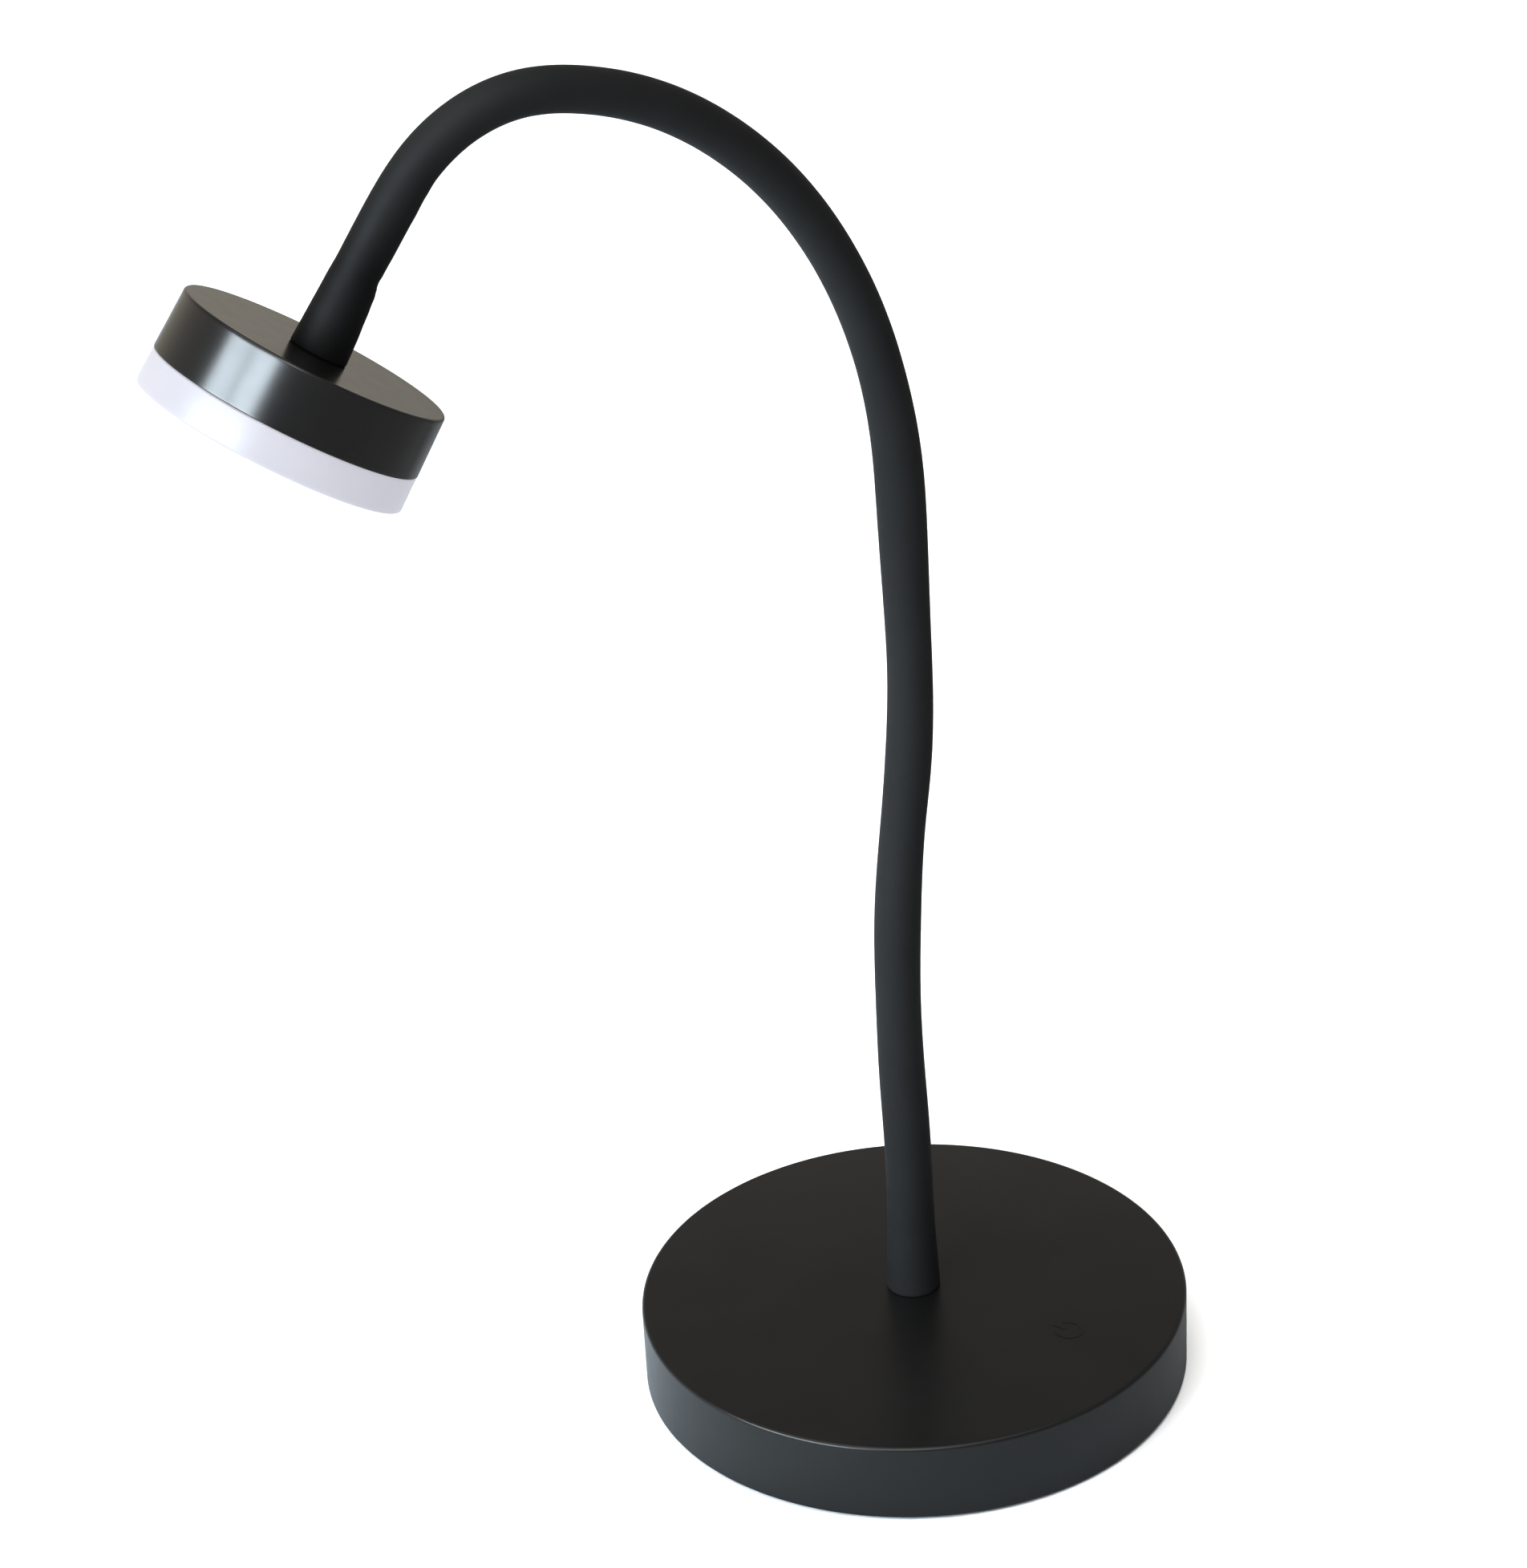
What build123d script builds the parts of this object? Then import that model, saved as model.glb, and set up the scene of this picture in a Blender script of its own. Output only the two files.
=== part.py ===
# Gooseneck desk lamp: a weighted round base with a touch switch, a sleeved flexible neck and a
# small round lamp head. Millimetres, +Z up, origin at the centre of the foot pad's underside.
# The neck bends in the XZ plane and carries the head towards -X.
import os
from math import cos, hypot, radians, sin, sqrt, tan

from build123d import *

# --- Base housing ---
base_diameter = 160.0  # at the top's edge
base_edge_height = 25.0  # floor to the top's edge
base_crown = 3.3  # rise of the domed top from its edge to the neck's foot
base_rim_height = 1.0  # floor to the housing's lower rim
base_draft = 0.8  # degrees, side narrowing downwards
base_wall = 2.5
base_roof = 2.5
landing_diameter = 16.4  # level spot under the neck's foot
landing_thickness = 3.0  # roof at that spot
brace_seat_diameter = 62.0  # level underside of the roof around it
base_top_round = 1.2
base_rim_bevel = 0.4

# --- Base plate, foot pad and weight ---
plate_thickness = 2.0
plate_inset = 0.5  # plate's underside above the housing's rim
plate_clearance = 0.2
pad_inset = 5.0  # from the housing's side
weight_side_gap = 4.5  # from the housing's wall
weight_headroom = 3.0  # under the roof
weight_board_gap = 1.8  # from the control board's corners
weight_slot_gap = 3.0  # each side of the control board
boss_diameter = 8.0
boss_from_wall = 7.5
boss_count = 4
boss_clearance = 1.2
weight_screw_count = 3

# --- Touch mark and its sensor ---
mark_radius = 51.3
mark_angle = -61.2  # around Z from +X
mark_diameter = 8.4
mark_line = 0.8
mark_depth = 0.25
mark_opening = 70.0  # degrees left open in the ring around the bar
sensor_diameter = 16.0
sensor_thickness = 0.3
ribbon_width = 6.0
ribbon_foot = 4.0  # the end that lies on the control board
ribbon_brace_gap = 4.0

# --- Control board, battery and charging socket, along the line from the mark to the socket ---
board_width = 26.0
board_thickness = 1.6
board_corner = 2.0
board_front_margin = 4.0  # beyond the sensor's ribbon
board_wall_gap = 3.5
spacer_diameter = 5.5
spacer_front_inset = 5.0
spacer_back_inset = 16.0
spacer_side_inset = 3.5
spacer_floor = 1.0
battery_length = 50.0
battery_width = 34.0
battery_thickness = 5.0
battery_round = 1.5
battery_tape = 0.8
battery_headroom = 0.3
tape_length = 40.0
tape_width = 8.5
tape_spread = 10.2  # from the battery's middle line to each strip
socket_width = 8.94
socket_height = 3.2
socket_depth = 7.4
socket_wall = 0.3
socket_back = 1.0
socket_setback = 0.5  # mouth behind the housing's outer face
socket_clearance = 0.25
socket_end_radius = 1.55
tongue_width = 6.7
tongue_thickness = 0.7
tongue_setback = 0.8
lead_block = (8.0, 6.4)
lead_block_headroom = 0.4  # under the neck's threaded stud

# --- Neck ---
core_diameter = 10.0
core_wall = 1.6
core_clearance = 0.1
core_stub = 2.0  # core standing past the upper joint of its link
sleeve_wall = 1.5
lead_diameter = 2.6
lead_gap = 0.9  # between the leads of neighbouring links
joint_clearance = 0.3
link_pitch = 50.0
link_bends = (2.9, -4.6, -6.9, 9.5, 0.2, 14.4, 16.2, 19.5, 25.0, 65.5, 3.0)  # degrees, foot to head
foot_straight = 37.7
head_straight = 23.5
collar_wall = 1.2  # sleeve stretched over the ferrule
collar_edge = 0.4  # bevel at the sleeve's seat
shoulder_length = 2.6  # where the sleeve eases down from the ferrule to the core

# --- End fittings ---
foot_ferrule = (13.2, 11.4, 21.7)  # diameter at the seat, at the mouth, length
head_ferrule = (12.5, 11.1, 18.0)
ferrule_floor = 3.0
ferrule_fit = 0.05
ferrule_bevel = 0.3
stud_diameter = 10.0
stud_bore = 5.2
stud_clearance = 0.2
nut_across_flats = 17.0
nut_thickness = 5.0
nut_bevel = 0.6
washer_diameter = 20.0
washer_thickness = 1.0
thread_gap = 0.05
stud_tail = 0.8  # stud showing past its nut
brace_diameter = 60.0
brace_thickness = 1.5

# --- Lamp head, depths from its top face ---
head_diameter = 76.2  # at the top face
head_draft = 1.65  # degrees, head and diffuser widening downwards
head_band = 17.4
head_roof = 3.0
head_wall = 2.0
head_top_round = 0.8
head_rim_bevel = 0.3
led_board_headroom = 1.0  # below the stud
led_board_clearance = 2.6
led_board_thickness = 1.6
post_diameter = 6.0
post_circle = 34.0
post_count = 3
led_length = 3.5
led_width = 2.8
led_height = 0.7
led_outer_circle = 48.0
led_outer_count = 18
led_inner_circle = 20.0
led_inner_count = 8
reflector_depth = 4.4
reflector_wall = 0.9
reflector_led_gap = 2.1
reflector_skirt_gap = 0.45
diffuser_step = 0.1  # diffuser inside the band's outer face
diffuser_height = 9.9
diffuser_wall = 2.0
diffuser_seam = 0.3
diffuser_edge_round = 0.6
skirt_height = 3.2
skirt_wall = 1.6
skirt_clearance = 0.15

# --- Screws: thread diameter, head diameter, head height, length below the head ---
case_screw = (3.0, 6.0, 1.6, 8.0)
weight_screw = (4.0, 7.6, 1.7, 9.0)
small_screw = (2.5, 4.6, 1.6, 4.0)
hex_share = 0.5  # key size against head diameter
hex_depth = 0.9

# --- Sizes that follow: neck and end fittings ---
core_radius = core_diameter / 2
core_bore = core_diameter - 2 * core_wall
sleeve_bore = core_radius + core_clearance
sleeve_radius = sleeve_bore + sleeve_wall
lead_radius = lead_diameter / 2
socket_radius = sleeve_radius + joint_clearance
core_setback = sqrt(socket_radius ** 2 - (core_bore / 2) ** 2)  # clear of the ball below
screw_pilot = 2 * thread_gap
base_stack = landing_thickness + brace_thickness + washer_thickness  # clamped under the neck's foot
head_stack = head_roof + washer_thickness
stud_reach = nut_thickness + stud_tail

# --- Sizes that follow: base ---
base_radius = base_diameter / 2
base_inner_radius = base_radius - base_wall
seat_height = base_edge_height + base_crown
landing_radius = landing_diameter / 2
dome_centre = ((seat_height ** 2 + landing_radius ** 2 - base_edge_height ** 2 - base_radius ** 2)
               / (2 * base_crown))  # height of the top's centre of curvature
dome_radius = hypot(base_radius, base_edge_height - dome_centre)
plate_bottom = base_rim_height + plate_inset
plate_top = plate_bottom + plate_thickness
board_underside = plate_top + battery_tape + battery_thickness + battery_headroom
board_top = board_underside + board_thickness
ribbon_fall = brace_diameter / 2 + ribbon_brace_gap
board_front = ribbon_fall + board_front_margin
board_back = base_inner_radius - board_wall_gap
weight_diameter = 2 * (base_inner_radius - weight_side_gap)
weight_bore = 2 * (hypot(board_front, board_width / 2) + weight_board_gap)
roof_edge = dome_centre + sqrt((dome_radius - base_roof) ** 2 - base_inner_radius ** 2)  # inside, at the wall
weight_thickness = roof_edge - plate_top - weight_headroom
weight_screw_circle = (weight_diameter + weight_bore) / 2
boss_circle = 2 * (base_inner_radius - boss_from_wall)
lead_block_height = seat_height - base_stack - stud_reach - board_top - lead_block_headroom
mark_line_frame = Plane.XY * Rotation(0, 0, mark_angle)  # local +X runs from the neck to the mark
seat = Plane((0, 0, seat_height))

# --- Sizes that follow: head ---
head_inner_radius = head_diameter / 2 - head_wall
led_board_depth = head_stack + stud_reach + led_board_headroom
led_board_face = led_board_depth + led_board_thickness
led_board_diameter = 2 * (head_inner_radius - led_board_clearance)
skirt_radius = head_inner_radius - skirt_clearance
skirt_bore_radius = skirt_radius - skirt_wall
reflector_mouth_radius = skirt_bore_radius - reflector_skirt_gap - reflector_wall
reflector_top_radius = (led_outer_circle + led_width) / 2 + reflector_led_gap


def save(shape, name):
    export_step(shape, f"parts/{name}.step")


def disc(diameter, thickness, bottom=0.0):
    return Pos(0, 0, bottom) * extrude(Circle(diameter / 2), thickness)


def ring(outer, inner, thickness, bottom=0.0):
    return Pos(0, 0, bottom) * extrude(Circle(outer / 2) - Circle(inner / 2), thickness)


def turned(points):
    # solid of revolution from (radius, height) corners
    return revolve(Plane.XZ * make_face(Polyline(*points, close=True)), Axis.Z)


def around(count, circle, start=0.0):
    return [Rotation(0, 0, start + 360 / count * i) * Pos(circle / 2, 0, 0) for i in range(count)]


def on_mark_line(shape):
    return mark_line_frame * shape


# ---------- fasteners ----------

def key_socket(head_diameter, top):
    # hexagonal key recess that opens at `top` and faces +Z
    key = RegularPolygon(head_diameter * hex_share / 2, 6)
    return Pos(0, 0, top - hex_depth) * extrude(key, 2 * hex_depth)


def flat_screw(size):
    # countersunk screw, its face at z = 0, pointing to +Z
    thread, head, head_height, length = size
    body = turned([(0, 0), (head / 2, 0), (thread / 2, head_height), (thread / 2, length), (0, length)])
    return body - key_socket(head, 0)


def flat_screw_hole(size):
    thread, head, head_height, length = size
    mouth = head / 2 + thread_gap
    shank = thread / 2 + thread_gap
    return turned([(0, 0), (mouth, 0), (shank, head_height), (shank, length), (0, length)])


def pan_screw(size):
    # pan-head screw, its seat at z = 0, head to +Z, thread to -Z
    thread, head, head_height, length = size
    body = disc(head, head_height) + disc(thread, length, -length)
    return body - key_socket(head, head_height)


# ---------- base ----------

def case_screw_places():
    return around(boss_count, boss_circle, mark_angle + 180 / boss_count)


def weight_screw_places():
    return around(weight_screw_count, weight_screw_circle, mark_angle)


def dome(depth=0.0):
    # ball whose cap is the domed top, or lies `depth` below it
    return Pos(0, 0, dome_centre) * Sphere(dome_radius - depth)


def dome_height(radius, depth=0.0):
    return dome_centre + sqrt((dome_radius - depth) ** 2 - radius ** 2)


def side_radius(height):
    # outside of the drafted side wall
    return base_radius - (base_edge_height - height) * tan(radians(base_draft))


def touch_mark():
    # power sign sunk in the top: an open ring with a bar that points to the neck
    outer = mark_diameter / 2
    sign = Circle(outer) - Circle(outer - mark_line)
    half = radians(mark_opening / 2)
    corner = (-mark_diameter * cos(half), mark_diameter * sin(half))
    sign -= make_face(Polyline((0, 0), corner, (corner[0], -corner[1]), close=True))
    sign += Pos(-outer / 2 - mark_line, 0) * Rectangle(outer, mark_line)
    column = Pos(mark_radius, 0, dome_height(mark_radius) - base_roof / 2) * extrude(sign, base_roof)
    return on_mark_line(column) - dome(mark_depth)


def socket_outline(grow):
    return RectangleRounded(socket_width + 2 * grow, socket_height + 2 * grow, socket_end_radius + grow)


def socket_place():
    # mouth of the charging socket, its local +Z pointing out of the base
    height = board_top + socket_height / 2
    mouth = Plane((socket_setback - side_radius(height), 0, height), x_dir=(0, 1, 0), z_dir=(-1, 0, 0))
    return mark_line_frame * mouth.location


def capped(radius, bottom_radius, bottom, top_radius, depth):
    # body of revolution under the dome: a side wall up to the cap `depth` below it, level inside top_radius
    low, high = dome_height(radius, depth), dome_height(top_radius, depth)
    cap = RadiusArc((radius, low), (top_radius, high), -(dome_radius - depth))
    rest = Polyline((top_radius, high), (0, high), (0, bottom), (bottom_radius, bottom), (radius, low))
    return revolve(Plane.XZ * make_face(cap + rest), Axis.Z)


def rims(body):
    # the full circles around a body of revolution, lowest first
    return body.edges().filter_by(lambda edge: edge.is_closed).sort_by(Axis.Z)


def base_shell():
    body = capped(base_radius, side_radius(base_rim_height), base_rim_height, landing_radius, 0)
    body = fillet(rims(body)[1], base_top_round)
    body = chamfer(rims(body)[0], base_rim_bevel)
    brace_seat = brace_seat_diameter / 2
    hollow = capped(base_inner_radius, base_inner_radius, base_rim_height, brace_seat, base_roof)
    hollow -= disc(brace_seat_diameter, landing_thickness, seat_height - landing_thickness)
    shell = body - hollow
    thread, _, _, length = case_screw
    boss_top = dome_height(boss_circle / 2, base_roof / 2)
    for place in case_screw_places():
        shell += place * disc(boss_diameter, boss_top - plate_top, plate_top)
        shell -= place * disc(thread + screw_pilot, length, plate_top)
    shell -= disc(stud_diameter + 2 * stud_clearance, 2 * landing_thickness, seat_height - landing_thickness)
    slot = extrude(socket_outline(socket_clearance), 2 * base_wall, both=True)
    return shell - socket_place() * slot - touch_mark()


def base_plate():
    plate = disc(2 * (base_inner_radius - plate_clearance), plate_thickness, plate_bottom)
    for place in case_screw_places():
        plate -= Pos(0, 0, plate_bottom) * place * flat_screw_hole(case_screw)
    for place in weight_screw_places():
        plate -= Pos(0, 0, plate_bottom) * place * flat_screw_hole(weight_screw)
    return plate


def foot_pad():
    return disc(base_diameter - 2 * pad_inset, plate_bottom)


def weight():
    body = ring(weight_diameter, weight_bore, weight_thickness, plate_top)
    for place in case_screw_places():
        body -= place * disc(boss_diameter + 2 * boss_clearance, weight_thickness, plate_top)
    for place in weight_screw_places():
        body -= place * disc(weight_screw[0] + screw_pilot, weight_screw[3], plate_bottom)
    slot = Box(weight_diameter, board_width + 2 * weight_slot_gap, 2 * weight_thickness)
    return body - on_mark_line(Pos(-weight_diameter / 2, 0, plate_top + weight_thickness / 2) * slot)


def screws(places, size, bottom):
    return Compound([Pos(0, 0, bottom) * place * flat_screw(size) for place in places])


def spacer_places():
    across = board_width / 2 - spacer_side_inset
    alongs = (board_front - spacer_front_inset, spacer_back_inset - board_back)
    return [mark_line_frame * Pos(along, side * across, 0) for along in alongs for side in (1, -1)]


def board_spacers():
    height = board_underside - plate_top
    post = disc(spacer_diameter, height, plate_top)
    post -= disc(small_screw[0] + screw_pilot, height, plate_top + spacer_floor)
    return Compound([place * post for place in spacer_places()])


def board_screws():
    return Compound([Pos(0, 0, board_top) * place * pan_screw(small_screw) for place in spacer_places()])


def control_board():
    length = board_front + board_back
    outline = Pos((board_front - board_back) / 2, 0) * RectangleRounded(length, board_width, board_corner)
    board = on_mark_line(Pos(0, 0, board_underside) * extrude(outline, board_thickness))
    for place in spacer_places():
        board -= place * disc(small_screw[0] + 2 * screw_pilot, board_thickness, board_underside)
    return board


def board_parts():
    # lead block under the stud, battery plug, control chip, charger chip, coil and two capacitors
    blocks = (
        (0, 0, *lead_block, lead_block_height),
        (18, -8, 7.5, 5.8, 3.4),
        (15, 5, 7.0, 7.0, 1.2),
        (-30, 0, 5.0, 5.0, 1.0),
        (-40, -4, 6.0, 6.0, 3.0),
        (-42, 5, 3.2, 2.6, 1.8),
        (-22, 6, 3.2, 2.6, 1.8),
    )
    return Compound([
        on_mark_line(Pos(x, y, board_top) * extrude(Rectangle(width, depth), height))
        for x, y, width, depth, height in blocks
    ])


def battery():
    face = RectangleRounded(battery_length, battery_width, battery_round)
    return on_mark_line(Pos(0, 0, plate_top + battery_tape) * extrude(face, battery_thickness))


def battery_tape_pads():
    strip = extrude(Rectangle(tape_length, tape_width), battery_tape)
    return Compound([on_mark_line(Pos(0, side * tape_spread, plate_top) * strip) for side in (1, -1)])


def charging_socket():
    # the mouth is open, with the contact tongue standing in it from the back wall
    can = extrude(socket_outline(0), -socket_depth)
    hollow = extrude(socket_outline(-socket_wall), socket_back - socket_depth)
    tongue = extrude(Rectangle(tongue_width, tongue_thickness), tongue_setback + socket_back - socket_depth)
    return socket_place() * (can - hollow + Pos(0, 0, -tongue_setback) * tongue)


def touch_sensor():
    # flexible film: a round pad under the mark, a tail along the roof, down and onto the board
    thick, fall, foot = sensor_thickness, ribbon_fall, ribbon_fall - ribbon_foot
    high = dome_height(fall, base_roof)
    under_roof = Pos((fall + mark_radius) / 2, 0, high) * Box(mark_radius - fall, ribbon_width, 2 * base_roof)
    under_roof += Pos(mark_radius, 0, high - base_roof) * extrude(Circle(sensor_diameter / 2), 2 * base_roof)
    film = (on_mark_line(under_roof) & dome(base_roof)) - dome(base_roof + thick)
    bend = make_face(Polyline(
        (fall, high - thick), (fall, board_top + thick), (foot, board_top + thick), (foot, board_top),
        (fall + thick, board_top), (fall + thick, high - thick), close=True))
    drop = extrude(Plane.XZ * bend, ribbon_width / 2, both=True)
    return film + on_mark_line(drop)


# ---------- end fittings, built at a seat whose +Z runs up the neck ----------

def ferrule(size, stack):
    # tapered crimp cup for the core over a threaded stud that goes through `stack` of clamped pieces
    collar, mouth, length = size
    tail = stack + stud_reach
    bore, cup = stud_bore / 2, core_radius + ferrule_fit
    stud, bevel = stud_diameter / 2, ferrule_bevel
    return turned([
        (bore, -tail), (stud - bevel, -tail), (stud, -tail + bevel), (stud, 0), (collar / 2, 0),
        (mouth / 2, length - bevel), (mouth / 2 - bevel, length), (cup, length),
        (cup, ferrule_floor), (bore, ferrule_floor),
    ])


def stud_washer(top):
    return ring(washer_diameter, stud_diameter + 2 * stud_clearance, washer_thickness,
                top - washer_thickness)


def stud_nut(top):
    body = extrude(RegularPolygon(nut_across_flats / 2, 6, major_radius=False), nut_thickness)
    corner = nut_across_flats / sqrt(3)
    flat = nut_across_flats / 2
    cone = turned([(0, 0), (flat, 0), (corner, nut_bevel), (corner, nut_thickness - nut_bevel),
                   (flat, nut_thickness), (0, nut_thickness)])
    bore = disc(stud_diameter + 2 * thread_gap, nut_thickness)
    return Pos(0, 0, top - nut_thickness) * ((body & cone) - bore)


def roof_brace():
    bore = stud_diameter + 2 * stud_clearance
    return ring(brace_diameter, bore, brace_thickness, -landing_thickness - brace_thickness)


# ---------- neck ----------

def arc_end(frame, bend, length):
    # frame reached by an arc of `length` that turns `bend` degrees towards -X
    if bend == 0:
        return Plane(frame.location * Location((0, 0, length)))
    turn_radius = length / radians(bend)
    step = (-turn_radius * (1 - cos(radians(bend))), 0, turn_radius * sin(radians(bend)))
    return Plane(frame.location * Location(step, (0, -bend, 0)))


def swept(frame, face, bend, length):
    # `face` carried along an arc that starts square to `frame`
    if bend == 0:
        return extrude(frame * face, length)
    turn_radius = length / radians(bend)
    side = 1 if bend > 0 else -1
    pivot = Axis(frame.from_local_coords((-turn_radius, 0, 0)), frame.y_dir * -side)
    return revolve(frame * face, pivot, abs(bend))


def swept_part(frame, face, bend, length, skip, short):
    # the same arc, begun `skip` along it and ended `short` of its end
    start = arc_end(frame, bend * skip / length, skip)
    run = length - skip - short
    return swept(start, face, bend * run / length, run)


def core_section():
    return Circle(core_radius) - Circle(core_bore / 2)


def socket_ball(frame):
    # room at a link's lower end for the ball of the link below
    return frame * Sphere(socket_radius)


def ball_end(frame):
    # part-sphere that closes a sleeve's upper end, so that the next link can roll over it
    top = Rectangle(2 * (sleeve_radius - sleeve_bore), 2 * sleeve_radius)
    section = Circle(sleeve_radius) & Pos(sleeve_radius, sleeve_radius) * top
    return frame * revolve(Plane.XZ * section, Axis.Z)


def collar_radius(ferrule_end):
    # outside of the sleeve over a ferrule of this diameter
    return ferrule_end / 2 + ferrule_fit + collar_wall


def collar_outside(size, straight):
    # outside of an end sleeve along its straight: a cone, a soft shoulder, then the plain tube
    collar, mouth, length = size
    low, high, plain = collar_radius(collar), collar_radius(mouth), sleeve_radius
    shoulder_end = length + shoulder_length
    cone = Polyline((0, 0), (low - collar_edge, 0), (low, collar_edge), (high, length))
    shoulder = Spline((high, length), (plain, shoulder_end), tangents=[(high - low, length), (0, 1)])
    tube = Polyline((plain, shoulder_end), (plain, straight), (0, straight), (0, 0))
    return revolve(Plane.XZ * make_face(cone + shoulder + tube), Axis.Z)


def collar_room(size):
    # room for the ferrule inside the sleeve
    collar, mouth, length = size
    end = length + ferrule_fit
    return turned([(0, 0), (collar / 2 + ferrule_fit, 0), (mouth / 2 + ferrule_fit, end), (0, end)])


def end_sleeve(end_seat, size, straight, bend):
    # sleeve of an end link, from its seat to the joint, without the joint's own shape
    run_out = Plane(end_seat.location * Location((0, 0, straight)))
    section = Circle(sleeve_radius) - Circle(sleeve_bore)
    collar = collar_outside(size, straight) - collar_room(size) - disc(2 * sleeve_bore, straight)
    return end_seat * collar + swept(run_out, section, bend, link_pitch / 2), run_out


def end_core(end_seat, run_out, bend, straight, short=0.0):
    # stops `short` of the joint
    tube = end_seat * ring(core_diameter, core_bore, straight - ferrule_floor, ferrule_floor)
    return tube + swept_part(run_out, core_section(), bend, link_pitch / 2, 0, short)


def end_lead(end_seat, run_out, bend, straight, reach, short=0.0):
    # `reach` is how far the lead goes on behind the seat
    line = end_seat * disc(lead_diameter, straight + reach, -reach)
    return line + swept_part(run_out, Circle(lead_radius), bend, link_pitch / 2, 0, short)


def core_end_stub(frame):
    return frame * ring(core_diameter, core_bore, core_stub)


def neck_frames():
    # the joints' frames, foot to head, each with its local +Z along the neck
    frames = [arc_end(Plane(seat.location * Location((0, 0, foot_straight))), link_bends[0], link_pitch / 2)]
    for bend in link_bends[1:-1]:
        frames.append(arc_end(frames[-1], bend, link_pitch))
    return frames


def foot_link(joint):
    # link 00 stands on the base
    bend, straight = link_bends[0], foot_straight
    sleeve, run_out = end_sleeve(seat, foot_ferrule, straight, bend)
    sleeve += ball_end(joint)
    core = end_core(seat, run_out, bend, straight) + core_end_stub(joint)
    drop = seat_height - board_top - lead_block_height - thread_gap  # down to the lead block
    lead = end_lead(seat, run_out, bend, straight, drop)
    return sleeve, core, lead


def middle_link(lower, upper, bend):
    sleeve = swept(lower, Circle(sleeve_radius) - Circle(sleeve_bore), bend, link_pitch)
    sleeve = sleeve - socket_ball(lower) + ball_end(upper)
    core = swept_part(lower, core_section(), bend, link_pitch, core_setback, 0) + core_end_stub(upper)
    lead = swept_part(lower, Circle(lead_radius), bend, link_pitch, lead_gap, 0)
    return sleeve, core, lead


def head_link(joint, head_seat):
    # link 10 carries the head; it is built from the head's seat back to the last joint
    bend, straight = link_bends[-1], head_straight
    sleeve, run_out = end_sleeve(head_seat, head_ferrule, straight, bend)
    sleeve -= socket_ball(joint)
    core = end_core(head_seat, run_out, bend, straight, core_setback)
    lead = end_lead(head_seat, run_out, bend, straight, led_board_depth - thread_gap, lead_gap)
    return sleeve, core, lead


# ---------- lamp head, local +Z from its top face down to the diffuser ----------

def head_radius(depth):
    return head_diameter / 2 + depth * tan(radians(head_draft))


def head_shell():
    body = turned([(0, 0), (head_radius(0), 0), (head_radius(head_band), head_band), (0, head_band)])
    body = fillet(body.edges().sort_by(Axis.Z)[0], head_top_round)
    body = chamfer(body.edges().sort_by(Axis.Z)[-1], head_rim_bevel)
    shell = body - disc(2 * head_inner_radius, head_band, head_roof)
    for place in around(post_count, post_circle):
        shell += place * disc(post_diameter, led_board_depth - head_roof, head_roof)
        shell -= place * disc(small_screw[0] + screw_pilot, small_screw[3], led_board_depth - small_screw[3])
    return shell - disc(stud_diameter + 2 * stud_clearance, 3 * head_roof, -head_roof)


def led_board():
    board = disc(led_board_diameter, led_board_thickness, led_board_depth)
    for place in around(post_count, post_circle):
        board -= place * disc(small_screw[0] + 2 * screw_pilot, led_board_thickness, led_board_depth)
    return board


def leds():
    chip = Pos(0, 0, led_board_face) * extrude(Rectangle(led_width, led_length), led_height)
    places = around(led_outer_count, led_outer_circle) + around(led_inner_count, led_inner_circle)
    return Compound([place * chip for place in places])


def head_screws():
    screw = Pos(0, 0, led_board_face) * pan_screw(small_screw)
    return Compound([place * screw for place in around(post_count, post_circle)])


def reflector():
    top, bottom = led_board_face, led_board_face + reflector_depth
    inner, mouth = reflector_top_radius, reflector_mouth_radius
    return turned([
        (inner, top), (inner + 2 * reflector_wall, top), (mouth + reflector_wall, bottom), (mouth, bottom),
    ])


def diffuser():
    # cup with a thin skirt that pushes into the head and a rim just below the band
    lip = head_band + diffuser_seam
    ledge = lip + diffuser_wall
    bottom = lip + diffuser_height
    floor = bottom - diffuser_wall
    top = head_band - skirt_height
    rim, foot = head_radius(lip) - diffuser_step, head_radius(bottom) - diffuser_step
    body = turned([
        (skirt_bore_radius, top), (skirt_radius, top), (skirt_radius, lip), (rim, lip), (foot, bottom),
        (0, bottom), (0, floor), (foot - diffuser_wall, floor), (rim - diffuser_wall, ledge),
        (skirt_bore_radius, ledge),
    ])
    outer_edge = body.edges().filter_by(GeomType.CIRCLE).group_by(Axis.Z)[-1].sort_by(SortBy.RADIUS)[-1]
    return fillet(outer_edge, diffuser_edge_round)


# ---------- assembly ----------

def save_base():
    save(base_shell(), "base_shell")
    save(base_plate(), "base_plate")
    save(foot_pad(), "foot_pad")
    save(weight(), "base_weight")
    save(screws(case_screw_places(), case_screw, plate_bottom), "case_screws")
    save(screws(weight_screw_places(), weight_screw, plate_bottom), "weight_screws")
    save(board_spacers(), "board_spacers")
    save(board_screws(), "board_screws")
    save(control_board(), "control_board")
    save(board_parts(), "board_parts")
    save(battery(), "battery")
    save(battery_tape_pads(), "battery_tape")
    save(charging_socket(), "charging_socket")
    save(touch_sensor(), "touch_sensor")
    save(seat * ferrule(foot_ferrule, base_stack), "base_ferrule")
    save(seat * roof_brace(), "roof_brace")
    save(seat * stud_washer(washer_thickness - base_stack), "base_washer")
    save(seat * stud_nut(-base_stack), "base_nut")


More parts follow.
